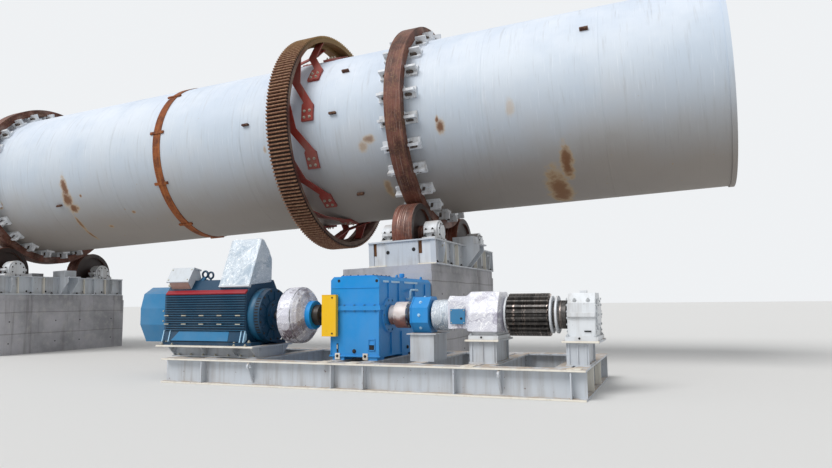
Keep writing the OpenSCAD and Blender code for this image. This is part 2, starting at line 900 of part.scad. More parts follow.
// Pillow block with chamfered shoulders
module pillow_block(x, blind) {
    h = seat_h - drive_h;
    w = block_w / 2;
    color(frame_c) on_drive() difference() {
        union() {
            extrude_x(x, x + block_l) polygon([
                [-w + 30, h + 60], [w - 30, h + 60], [w - 60, 180], [w - 150, 330],
                [-w + 150, 330], [-w + 60, 180]
            ]);
            block([x - 40, -w - 20, h], [x + block_l + 40, w + 20, h + 62]);
        }
        bar_x(x - 41 - eps, x + block_l + (blind ? -50 : 41 + eps), slow_r + run_gap);
    }
}

module pinion_bearing_left() {
    pillow_block(brgl_x, false);
}

module pinion_bearing_right() {
    pillow_block(brgr_x, true);
}

// Top plate on webs, with a foot plate that ends at foot_x1
module bearing_stand(x, foot_x1) {
    w = block_w / 2 + stand_edge;
    x0 = x - stand_edge;
    x1 = x + block_l + stand_edge_r;
    foot_x0 = x0 + 40;
    y0 = drive_y - w + 60;
    y1 = drive_y + w - 60;
    z1 = seat_h - plate_t;
    color(frame_c) {
        block([x0, drive_y - w, z1], [x1, drive_y + w, seat_h]);
        block([foot_x0, y0, beam_h], [foot_x1, y1, beam_h + web_t]);
        for (y = [y0 + 20, y1 - 20 - web_t])
            block([foot_x0 + 10, y, beam_h], [foot_x1 - 10, y + web_t, z1 + eps]);
        for (px = [foot_x0 + 40, (foot_x0 + foot_x1 - web_t) / 2, foot_x1 - 40 - web_t])
            block([px, y0, beam_h], [px + web_t, y1, z1 + eps]);
    }
}

module bearing_stand_left() {
    bearing_stand(brgl_x, brgl_x + block_l + 20);
}

module bearing_stand_right() {
    bearing_stand(brgr_x, skid_x1 - 10);
}

// Pinion with a thin disc at each end, and a second disc and a hub at the right
module pinion() {
    half = pinion_w / 2;
    disc = 30;
    color(steel_c) on_drive() translate([pinion_x, 0, 0]) difference() {
        union() {
            translate([-half, 0, 0]) rotate([0, 90, 0])
                linear_extrude(pinion_w) polygon(wheel_points(pinion_teeth, gear_m));
            for (x = [-half - 50, half + 20, half + 105])
                bar_x(x, x + disc, rim_disc_r);
            bar_x(-half - 51, half + 106, rim_disc_r - 80);
            bar_x(half + 100, brgr_x - pinion_x - 55, rim_disc_r - 70);
        }
        bar_x(-half - 100, brgr_x - pinion_x, slow_r);
    }
}

module pinion_shaft() {
    step = brgl_x - 250;
    color(steel_c) on_drive() {
        bar_x(box_x1 - shaft_in, step + eps, out_r);
        bar_x(step, brgr_x + block_l - 60, slow_r);
    }
}

module output_coupling() {
    neck_x = box_x1 + seal_l + 20;
    flange_x = neck_x + 110;
    color("#B9B2AC") on_drive() difference() {
        union() {
            bar_x(neck_x, flange_x + eps, flange_r * 0.75);
            bar_x(flange_x, flange_x + 220, flange_r);
            bar_x(sleeve_x, sleeve_x + sleeve_l, sleeve_r);
        }
        bar_x(box_x1, cover_x, out_r);
    }
}

module motor_coupling() {
    color(steel_c) on_drive() {
        bar_x(motor_x1 + shield_l - shaft_in, box_x0 + shaft_in, fast_r);
        bar_x(disc_x, disc_x + disc_t, disc_r);
        bar_x(disc_x + disc_t - eps, disc_x + disc_t + 240, 250);
    }
}

pier_main();
pier_tail();
base_frame_main();
base_frame_tail();
bearings_main_near();
bearings_main_far();
bearings_tail_near();
bearings_tail_far();
skid_frame();
motor_stand();
motor_body();
motor_fan_cowl();
motor_end_shield();
terminal_box_small();
terminal_box_large();
motor_lifting_eyes();
gearbox_case();
gearbox_cover();
input_guard();
octagon_guard();
guard_pedestal();
shaft_guard();
pinion_bearing_left();
pinion_bearing_right();
bearing_stand_left();
bearing_stand_right();
shell_tail();
shell_middle();
shell_head();
end_ring_tail();
end_ring_head();
tyre_tail();
tyre_main();
tyre_pads_tail();
tyre_pads_main();
girth_gear();
gear_springs();
shell_band();
shell_lugs();
roller_main_near();
roller_main_far();
roller_tail_near();
roller_tail_far();
pinion();
pinion_shaft();
output_coupling();
motor_coupling();
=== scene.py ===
"""Looks of a rotary kiln on two roller stations and of the drive skid in front of it.

Lengths are metres in the row frame: +X uphill along the drum, +Y away from the skid, +Z up.
Surfaces are worked out as whole arrays, and each finish is a small class of its own.
"""

import logging
import math
from dataclasses import dataclass
from enum import Enum

import bmesh
import bpy
import numpy as np
from mathutils import Matrix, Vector
from numpy.typing import ArrayLike


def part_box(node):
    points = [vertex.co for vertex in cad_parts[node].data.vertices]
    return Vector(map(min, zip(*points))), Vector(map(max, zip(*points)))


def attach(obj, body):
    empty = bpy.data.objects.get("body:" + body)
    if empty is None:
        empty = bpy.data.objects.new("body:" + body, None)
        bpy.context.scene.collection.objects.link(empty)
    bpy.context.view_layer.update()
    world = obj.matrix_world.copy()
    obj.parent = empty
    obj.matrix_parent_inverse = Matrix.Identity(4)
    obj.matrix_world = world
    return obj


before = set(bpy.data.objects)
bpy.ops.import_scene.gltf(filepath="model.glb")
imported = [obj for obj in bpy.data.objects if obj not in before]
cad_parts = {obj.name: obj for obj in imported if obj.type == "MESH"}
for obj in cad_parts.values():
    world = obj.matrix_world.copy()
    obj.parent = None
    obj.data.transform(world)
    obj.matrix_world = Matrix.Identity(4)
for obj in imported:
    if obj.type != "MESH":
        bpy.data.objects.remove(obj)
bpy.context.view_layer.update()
log = logging.getLogger("kiln")

FULL_TURN = 2 * math.pi
WELD_DISTANCE = 2e-5
SHARP_ANGLE = math.radians(32)
CONCRETE_LIFT = 0.62

UP = (0.0, 0.0, 1.0)
NEAR = (0.0, -1.0, 0.0)
LEFT = (-1.0, 0.0, 0.0)
RIGHT = (1.0, 0.0, 0.0)


def paint(code: str) -> tuple[float, float, float, float]:
    """A colour written as #RRGGBB, in the renderer's linear values.

    Args:
        code: The colour as it looks on a screen.

    Returns:
        Red, green, blue and an alpha of one.
    """
    shares = [int(code[i : i + 2], 16) / 255 for i in (1, 3, 5)]
    linear = [s / 12.92 if s <= 0.04045 else ((s + 0.055) / 1.055) ** 2.4 for s in shares]
    return (*linear, 1.0)


class Value:
    """A number that varies over a surface, so that masks are written as sums and products."""

    def __init__(self, shader: "Shader", socket: bpy.types.NodeSocket) -> None:
        """Keeps the socket and the material that it belongs to."""
        self.shader = shader
        self.socket = socket

    def __add__(self, other: "Value | float") -> "Value":
        """Adds two values."""
        return self.shader.math("ADD", self, other)

    def __sub__(self, other: "Value | float") -> "Value":
        """Takes a value away."""
        return self.shader.math("SUBTRACT", self, other)

    def __rsub__(self, other: float) -> "Value":
        """Takes this value away from a number."""
        return self.shader.math("SUBTRACT", other, self)

    def __mul__(self, other: "Value | float") -> "Value":
        """Multiplies two values."""
        return self.shader.math("MULTIPLY", self, other)

    __radd__ = __add__
    __rmul__ = __mul__

    def most(self, other: "Value | float") -> "Value":
        """The larger of two values."""
        return self.shader.math("MAXIMUM", self, other)

    def size(self) -> "Value":
        """The value without its sign."""
        return self.shader.math("ABSOLUTE", self)

    def step(self, low: float, high: float) -> "Value":
        """A soft step from zero at low to one at high, either way round.

        Args:
            low: The value at which the mask is zero.
            high: The value at which the mask is one.

        Returns:
            The mask.
        """
        made = self.shader.node(
            "ShaderNodeMapRange", {"interpolation_type": "SMOOTHSTEP"},
            {"Value": self, "From Min": min(low, high), "From Max": max(low, high)},
        )
        mask = Value(self.shader, made.outputs[0])
        return mask if low < high else 1 - mask


class Shader:
    """One material's nodes."""

    def __init__(self, name: str) -> None:
        """Makes an empty material.

        Args:
            name: The material's name.
        """
        self.material = bpy.data.materials.new(name)
        self.material.use_nodes = True
        self.material.node_tree.nodes.clear()
        self.place = self.node("ShaderNodeTexCoord").outputs["Object"]
        self.facing = self.node("ShaderNodeTexCoord").outputs["Normal"]

    def node(self, kind: str, settings: dict | None = None, inputs: dict | None = None) -> bpy.types.Node:
        """Adds a node.

        Args:
            kind: The node's type.
            settings: Its own settings, such as a Math node's operation.
            inputs: The values or links of its sockets, by name or number.

        Returns:
            The node.
        """
        tree = self.material.node_tree
        made = tree.nodes.new(kind)
        for name, value in (settings or {}).items():
            setattr(made, name, value)
        for name, value in (inputs or {}).items():
            source = value.socket if isinstance(value, Value) else value
            if isinstance(source, bpy.types.NodeSocket):
                tree.links.new(source, made.inputs[name])
            else:
                made.inputs[name].default_value = source
        return made

    def math(self, kind: str, *values: "Value | float") -> Value:
        """A sum of values by one Math node."""
        made = self.node("ShaderNodeMath", {"operation": kind}, dict(enumerate(values)))
        return Value(self, made.outputs[0])

    def vector(self, kind: str, first: object, second: object) -> bpy.types.Node:
        """Two vectors put together by one Vector Math node."""
        return self.node("ShaderNodeVectorMath", {"operation": kind}, {0: first, 1: second})

    def along(self, vector: object, direction: tuple[float, float, float]) -> Value:
        """How far a vector reaches in a direction."""
        return Value(self, self.vector("DOT_PRODUCT", vector, direction).outputs["Value"])

    def noise(
        self, scale: float, detail: float = 4.0, stretch: tuple = (1.0, 1.0, 1.0), at: object = None
    ) -> Value:
        """Soft noise over the surface.

        Args:
            scale: Spots in a metre.
            detail: How many finer layers lie on it.
            stretch: More than one along an axis packs the spots closer there.
            at: The place to read it at, where that isn't the object's own place.

        Returns:
            A value from zero to one, mostly near a half.
        """
        place = self.vector("MULTIPLY", at or self.place, stretch).outputs[0]
        made = self.node(
            "ShaderNodeTexNoise", None, {"Vector": place, "Scale": scale, "Detail": detail, "Roughness": 0.6}
        )
        return Value(self, made.outputs[0])

    def mix(self, share: "Value | float", first: object, second: object) -> bpy.types.NodeSocket:
        """A colour between two.

        Args:
            share: How much of the second colour shows.
            first: A colour's code, or a link.
            second: A colour's code, or a link.

        Returns:
            The mixed colour.
        """
        colours = [paint(c) if isinstance(c, str) else c for c in (first, second)]
        made = self.node(
            "ShaderNodeMix", {"data_type": "RGBA", "clamp_factor": True},
            {0: share, 6: colours[0], 7: colours[1]},
        )
        return made.outputs[2]

    def surface(self, relief: Value, depth: float, **sockets: object) -> bpy.types.Material:
        """Closes the material with one Principled shader.

        Args:
            relief: The height of the surface, from zero to one.
            depth: The relief's depth in metres.
            sockets: Values and links of the shader, with _ for a space in the name.

        Returns:
            The material.
        """
        bump = self.node("ShaderNodeBump", None, {"Height": relief, "Distance": depth, "Strength": 1.0})
        inputs = {name.replace("_", " "): value for name, value in sockets.items()}
        skin = self.node("ShaderNodeBsdfPrincipled", None, {**inputs, "Normal": bump.outputs[0]})
        self.node("ShaderNodeOutputMaterial", None, {"Surface": skin.outputs[0]})
        return self.material


@dataclass(frozen=True)
class Finish:
    """A plain smooth finish, and what every finish has.

    Attributes:
        name: The material's name.
        colour: Its main colour.
        rough: Its roughness.
        metal: How metallic it is.
    """

    name: str
    colour: str
    rough: float = 0.5
    metal: float = 0.0

    def material(self) -> bpy.types.Material:
        """The finish's material, made when it is first asked for."""
        return bpy.data.materials.get(self.name) or self.shade(Shader(self.name))

    def shade(self, s: Shader) -> bpy.types.Material:
        """Fine grain and a little soiling over the main colour."""
        grain = s.noise(60.0, 3)
        soil = s.noise(4.0, 5).step(0.45, 0.75)
        colour = s.mix(soil * 0.35, self.colour, "#4a423a")
        rough = grain * 0.16 + soil * 0.12 + self.rough - 0.08
        return s.surface(grain, 0.0006, Base_Color=colour, Metallic=self.metal, Roughness=rough)


@dataclass(frozen=True)
class SitePaint(Finish):
    """Painted steel that has stood outside: dust on its tops, runs down its sides and rust chips.

    Attributes:
        dust: How thick the dust on its tops is.
        soil: How soiled its sides are.
        chips: How many rust chips it has.
        coat: Its clear gloss.
        shine: How strongly it mirrors, a half for common paint.
    """

    dust: float = 0.5
    soil: float = 0.35
    chips: float = 0.6
    coat: float = 0.0
    shine: float = 0.5

    def shade(self, s: Shader) -> bpy.types.Material:
        """Soil, dust and chips are masks of noise that is stretched downwards or kept to the tops."""
        broad = s.noise(0.8, 4)
        cloudy = s.noise(5.0, 5)
        runs = s.noise(1.0, 4, (9.0, 9.0, 0.7))
        grain = s.noise(110.0, 2)
        darkened = (broad * 0.45 + runs * 0.55).step(0.44, 0.70) * self.soil
        dusty = s.along(s.facing, UP).step(0.5, 0.97) * cloudy.step(0.30, 0.62) * self.dust
        chipped = (s.noise(13.0, 6) + runs * 0.12).step(0.735, 0.765) * self.chips
        colour = s.mix(broad.step(0.35, 0.70) * 0.05, self.colour, "#ffffff")
        colour = s.mix(darkened, colour, "#7c6f60")
        colour = s.mix(dusty, colour, "#b49c80")
        colour = s.mix(chipped, colour, "#5a2c17")
        rough = grain * 0.10 + darkened * 0.25 + dusty * 0.4 + chipped * 0.3 + self.rough - 0.05
        return s.surface(
            grain * 0.5 + cloudy * 0.5 - chipped * 0.7, 0.0012,
            Base_Color=colour, Roughness=rough, Metallic=self.metal, Coat_Weight=self.coat,
            Specular_IOR_Level=self.shine,
        )


@dataclass(frozen=True)
class DrivePaint(SitePaint):
    """Paint of the drive's units, which is hardly weathered and shines weakly."""

    dust: float = 0.10
    soil: float = 0.06
    chips: float = 0.08
    coat: float = 0.05
    shine: float = 0.25


@dataclass(frozen=True)
class Stain:
    """A rust stain on the drum.

    Attributes:
        along: Its distance from the main tyre.
        angle: Its angle from the top towards the skid, in degrees.
        half_along: Half its length along the drum.
        half_round: Half its length round the drum.
        share: How strong it is.
    """

    along: float
    angle: float
    half_along: float
    half_round: float
    share: float = 1.0


@dataclass(frozen=True)
class DrumPlace:
    """Where the drum's axis lies and how it reads in a material or as points.

    Attributes:
        centre: A point on the axis.
        slope: The axis's slope.
        shell_r: The shell's outer radius.
    """

    centre: tuple[float, float, float] = (0.0, 0.0, 5.62)
    slope: float = math.radians(2.0)
    shell_r: float = 2.1

    def turn(self) -> np.ndarray:
        """The matrix from the drum's own directions to the row frame."""
        c, s = math.cos(self.slope), math.sin(self.slope)
        return np.array([[c, 0.0, -s], [0.0, 1.0, 0.0], [s, 0.0, c]])

    def laid(self, shape: "Shape") -> "Shape":
        """A shape in the drum's own directions, laid on the drum."""
        return shape.placed(self.turn(), self.centre)

    def read(self, s: Shader) -> tuple[Value, Value, Value, bpy.types.NodeSocket]:
        """The same place in a material.

        Args:
            s: The material.

        Returns:
            The distance along the axis, the angle from the top towards the skid in radians,
            the radius, and all three directions as one vector.
        """
        turn = self.turn()
        offset = s.vector("SUBTRACT", s.place, self.centre).outputs[0]
        along, across, up = (s.along(offset, tuple(turn[:, k])) for k in range(3))
        angle = s.math("ARCTAN2", 0.0 - across, up)
        radius = s.math("SQRT", across * across + up * up)
        joined_up = s.node("ShaderNodeCombineXYZ", None, {0: along, 1: across, 2: up}).outputs[0]
        return along, angle, radius, joined_up

    def on_shell(
        self, along: ArrayLike, degrees: ArrayLike, height: float = 0.0
    ) -> tuple[np.ndarray, np.ndarray]:
        """Points over the shell in the drum's own directions.

        Args:
            along: Distances from the main tyre.
            degrees: Angles from the top towards the skid.
            height: How far the points lie over the shell.

        Returns:
            The points, and the direction outwards at each.
        """
        along, angle = np.broadcast_arrays(np.asarray(along, float), np.radians(degrees))
        out = np.stack([np.zeros_like(angle), -np.sin(angle), np.cos(angle)], -1).reshape(-1, 3)
        points = out * (self.shell_r + height)
        points[:, 0] = along.ravel()
        return points, out


DRUM = DrumPlace()


@dataclass(frozen=True)
class DrumPaint(Finish):
    """Pale paint on the drum, with runs round it, weld lines, a brown underside of grime and painted shade,
    painted shade on its sides, and rust stains.

    Attributes:
        stains: The rust stains.
        welds: Distances of the weld lines from the main tyre.
        belly_grime_and_shade: The colour of the underside, which is grime and painted shade in one.
    """

    stains: tuple[Stain, ...] = ()
    welds: tuple[float, ...] = ()
    belly_grime_and_shade: str = "#7f705f"

    def shade(self, s: Shader) -> bpy.types.Material:
        """Masks in the drum's own directions, so that runs follow the shell and stains stay in place."""
        along, angle, radius, spot = DRUM.read(s)
        broad = s.noise(0.55, 4, at=spot)
        cloudy = s.noise(2.6, 6, at=spot)
        runs = s.noise(1.0, 5, (11.0, 0.9, 0.9), spot)
        fine_runs = s.noise(1.0, 4, (34.0, 1.6, 1.6), spot)
        grain = s.noise(85.0, 2)
        # Painted shade: the sides away from the top are greyed, and the underside goes towards the brown
        # colour, which is grime and shade together.
        down = (angle.size() + broad * 0.5 - 0.25).step(1.45, 2.60)
        side_shade = (angle.size() + cloudy * 0.3).step(0.9, 1.75)
        colour = s.mix(broad.step(0.35, 0.68) * 0.5, self.colour, "#eef2f8")
        colour = s.mix(side_shade * 0.42, colour, "#a9b6bf")
        colour = s.mix(down * 0.80, colour, self.belly_grime_and_shade)
        colour = s.mix(runs.step(0.54, 0.74) * 0.20, colour, "#84807a")
        colour = s.mix(fine_runs.step(0.60, 0.72) * 0.15, colour, "#6f6a64")
        colour = s.mix(fine_runs.step(0.40, 0.30) * (0.20 - down * 0.20), colour, "#f4f6fa")
        spotty = s.noise(9.0, 6, at=spot)
        specks = (spotty + down * 0.05).step(0.725, 0.770)
        ragged = cloudy * 1.1 + spotty * 0.9
        rusted = self.stained(s, along, angle, ragged, specks * 0.6)
        bead = 0.0
        for place in self.welds:
            gap = (along - place).size()
            bead = gap.step(0.030, 0.008) + bead
            rusted = rusted.most((gap + ragged * 0.25).step(0.30, 0.17) * cloudy.step(0.55, 0.72) * 0.7)
        halo = rusted.step(0.02, 0.5)
        colour = s.mix(halo * 0.45, colour, "#c9a56c")
        colour = s.mix(rusted.step(0.25, 0.95) * 0.9, colour, "#6f4426")
        inside = radius.step(DRUM.shell_r - 0.012, DRUM.shell_r - 0.020)
        colour = s.mix(inside, colour, s.mix(cloudy.step(0.40, 0.65), "#3f332c", "#75604e"))
        rough = grain * 0.12 + halo * 0.3 + down * 0.15 + self.rough - 0.06
        relief = grain * 0.15 + cloudy * 0.35 + bead * 0.5 - rusted * 0.2
        return s.surface(relief, 0.004, Base_Color=colour, Roughness=rough, Metallic=self.metal)

    def stained(self, s: Shader, along: Value, angle: Value, ragged: Value, rusted: Value) -> Value:
        """Adds the stains: soft steps of the distance from an oval's middle, with a ragged rim.

        Args:
            s: The material.
            along: The distance along the axis.
            angle: The angle from the top towards the skid.
            ragged: Noise that frays the rims.
            rusted: The rust that is there already.

        Returns:
            How much rust shows.
        """
        for stain in self.stains:
            away = ((along - stain.along) * (1 / stain.half_along)).size()
            turned_by = ((angle - math.radians(stain.angle)) * (DRUM.shell_r / stain.half_round)).size()
            distance = s.math("SQRT", away * away + turned_by * turned_by) + ragged - 1.15
            rusted = rusted.most(distance.step(1.10, 0.05) * stain.share)
        return rusted


@dataclass(frozen=True)
class RustedRing(Finish):
    """Bare rusty steel that turns with the drum or a roller, worn brighter where it runs.

    Attributes:
        dark: The colour of its old rust.
        bright: The colour of its worn or dry rust.
        polish: How much of it is polished by running.
        ends: The colour of the painted shade on its faces across the axis.
    """

    dark: str = "#43231a"
    bright: str = "#8a6a4c"
    polish: float = 0.2
    ends: str = ""

    def shade(self, s: Shader) -> bpy.types.Material:
        """Mottled rust with bands across the running direction and thin polished streaks."""
        cloudy = s.noise(3.0, 6)
        mottled = s.noise(22.0, 5)
        grain = s.noise(150.0, 2)
        bands = s.noise(1.0, 4, (14.0, 0.7, 0.7))
        streaks = s.noise(1.0, 3, (60.0, 1.3, 1.3)).step(0.52, 0.70) * self.polish
        colour = s.mix(cloudy.step(0.36, 0.66), self.dark, self.colour)
        colour = s.mix(mottled.step(0.46, 0.74) * 0.55, colour, self.bright)
        colour = s.mix(bands.step(0.50, 0.72) * 0.5, colour, self.bright)
        colour = s.mix(streaks, colour, "#c9b6ac")
        # Painted shade: faces across the axis turn near-black, as they lie in shade.
        if self.ends:
            across = s.along(s.facing, tuple(DRUM.turn()[:, 0])).size()
            colour = s.mix(across.step(0.80, 0.95) * 0.9, colour, self.ends)
        return s.surface(
            mottled * 0.6 + grain * 0.4, 0.0016,
            Base_Color=colour, Metallic=streaks * 0.8 + self.metal,
            Roughness=mottled * 0.22 - streaks * 0.45 + self.rough,
        )


@dataclass(frozen=True)
class ToothedRust(Finish):
    """The girth gear's rust: old grease and painted shade darken it between its teeth, dry ochre rust is on
    their tips, and its upper part is painted lighter, as lit.

    Attributes:
        root_r: The radius at the bottom of the teeth.
        tip_r: The radius at their tips.
    """

    root_r: float = 2.681
    tip_r: float = 2.744

    def shade(self, s: Shader) -> bpy.types.Material:
        """The radius parts tooth tips from tooth roots."""
        _, angle, radius, spot = DRUM.read(s)
        cloudy = s.noise(1.4, 5, at=spot)
        mottled = s.noise(24.0, 5)
        tip = (radius + mottled * 0.02).step(self.root_r + 0.012, self.tip_r + 0.004)
        inner = radius.step(self.root_r + 0.002, self.root_r - 0.02)
        # Painted light: the gear's upper part turns a lighter ochre, as where light falls from above.
        high = angle.size().step(1.1, 0.35)
        # The near-black at the tooth roots is painted shade between the teeth, over old grease.
        colour = s.mix(tip, "#2a1712", self.colour)
        colour = s.mix(tip * mottled.step(0.42, 0.66) * 0.8, colour, "#a88566")
        colour = s.mix(inner, colour, s.mix(cloudy.step(0.38, 0.66), "#5b3026", "#7d6a5b"))
        colour = s.mix(high * 0.55, colour, "#94793f")
        rough = mottled * 0.2 + self.rough
        return s.surface(mottled, 0.0018, Base_Color=colour, Metallic=self.metal, Roughness=rough)


@dataclass(frozen=True)
class CastConcrete(Finish):
    """Concrete cast in lifts, with board lines, stains that run down and pores."""

    def shade(self, s: Shader) -> bpy.types.Material:
        """Lifts are a repeating step of the height, and stains are noise stretched downwards."""
        height = s.along(s.place, UP)
        lift = s.math("FRACT", height * (1 / CONCRETE_LIFT) + s.noise(0.7, 2) * 0.10)
        line = (lift - 0.5).size().step(0.470, 0.494)
        broad = s.noise(0.7, 5)
        mottled = s.noise(6.0, 6)
        runs = s.noise(1.0, 5, (5.0, 5.0, 0.35))
        pores = s.noise(42.0, 3).step(0.66, 0.72)
        colour = s.mix(broad.step(0.35, 0.68), "#98989c", self.colour)
        colour = s.mix(mottled.step(0.48, 0.72) * 0.5, colour, "#c3c2bf")
        colour = s.mix(runs.step(0.53, 0.70) * 0.45, colour, "#6f6c69")
        colour = s.mix(line * 0.45, colour, "#68655f")
        colour = s.mix(pores * 0.6, colour, "#4b4946")
        return s.surface(
            mottled * 0.5 - line * 0.7 - pores * 0.6, 0.006,
            Base_Color=colour, Roughness=mottled * 0.15 + self.rough, Metallic=self.metal,
        )


@dataclass(frozen=True)
class WrapFilm(Finish):
    """Clear packing film in many layers, milky on its folds and see-through between them, with painted shade
    in its deep folds and on its underside.

    Attributes:
        shadow: The colour in its deep folds.
        hide: How much it hides what it wraps, where it is thinnest.
        darkened: How far its underside takes on the painted shade of its folds.
        depth: How strong the painted shade in its folds is.
    """

    shadow: str = "#8d84a0"
    hide: float = 0.70
    darkened: float = 0.35
    depth: float = 0.55

    def shade(self, s: Shader) -> bpy.types.Material:
        """Folds are long smooth noise, and strands are the thin lines where it passes its middle."""
        bend = s.noise(3.0, 3)
        pull = s.node("ShaderNodeCombineXYZ", None, {0: bend, 1: bend * 0.5, 2: bend}).outputs[0]
        spot = s.vector("ADD", s.place, pull).outputs[0]
        folds = s.noise(3.0, 2, (0.9, 0.6, 1.5), spot)
        fine = s.noise(9.0, 2, (1.0, 0.5, 1.6), spot)
        # Painted shade: faces that look down and the deep folds take on the shadow colour.
        low = s.along(s.facing, UP).step(0.25, -0.85)
        deep = (folds - low * 0.10).step(0.47, 0.33)
        strands = (folds - 0.5).size().step(0.014, 0.003).most((fine - 0.5).size().step(0.020, 0.005) * 0.7)
        colour = s.mix(deep * self.depth + low * self.darkened, self.colour, self.shadow)
        colour = s.mix(strands * 0.75, colour, "#ffffff")
        return s.surface(
            folds * 0.6 + fine * 0.4 + strands * 0.10, 0.007,
            Base_Color=colour, Roughness=fine * 0.15 + self.rough, Metallic=self.metal,
            Coat_Weight=0.5, Alpha=folds * 0.25 + strands * 0.3 + self.hide,
        )


@dataclass(frozen=True)
class TurnedSteel(Finish):
    """Machined steel with fine tool marks and a film of oil."""

    def shade(self, s: Shader) -> bpy.types.Material:
        """Tool marks are noise packed very close along the shaft."""
        marks = s.noise(1.0, 3, (240.0, 2.0, 2.0))
        cloudy = s.noise(4.0, 5)
        colour = s.mix(cloudy.step(0.40, 0.70) * 0.6, self.colour, "#5a5048")
        rough = marks * 0.15 + cloudy * 0.2 + self.rough - 0.12
        return s.surface(marks, 0.0005, Base_Color=colour, Metallic=self.metal, Roughness=rough)


@dataclass(frozen=True)
class PlainFloor(Finish):
    """An even pale floor."""

    def shade(self, s: Shader) -> bpy.types.Material:
        """One colour with a trace of very broad noise."""
        broad = s.noise(0.05, 2)
        colour = s.mix(broad * 0.10, self.colour, "#cfcecb")
        return s.surface(broad, 0.0, Base_Color=colour, Roughness=self.rough)


@dataclass(frozen=True)
class HalfRusted(Finish):
    """Pale paint whose lower half has come off and rusted.

    Attributes:
        line: Height of the line between paint and rust.
    """

    line: float = 1.13

    def shade(self, s: Shader) -> bpy.types.Material:
        """The line is a soft step of the height, bent by noise."""
        cloudy = s.noise(7.0, 5)
        grain = s.noise(90.0, 2)
        height = s.along(s.place, UP) + cloudy * 0.22 - 0.11
        rust = height.step(self.line + 0.05, self.line - 0.05)
        colour = s.mix(cloudy.step(0.45, 0.75) * 0.4, self.colour, "#b79a90")
        colour = s.mix(rust * 0.85, colour, s.mix(cloudy.step(0.4, 0.6), "#5e2318", "#8a4028"))
        return s.surface(
            grain * 0.5 + cloudy * 0.5, 0.0015,
            Base_Color=colour, Roughness=rust * 0.25 + self.rough, Metallic=self.metal,
        )


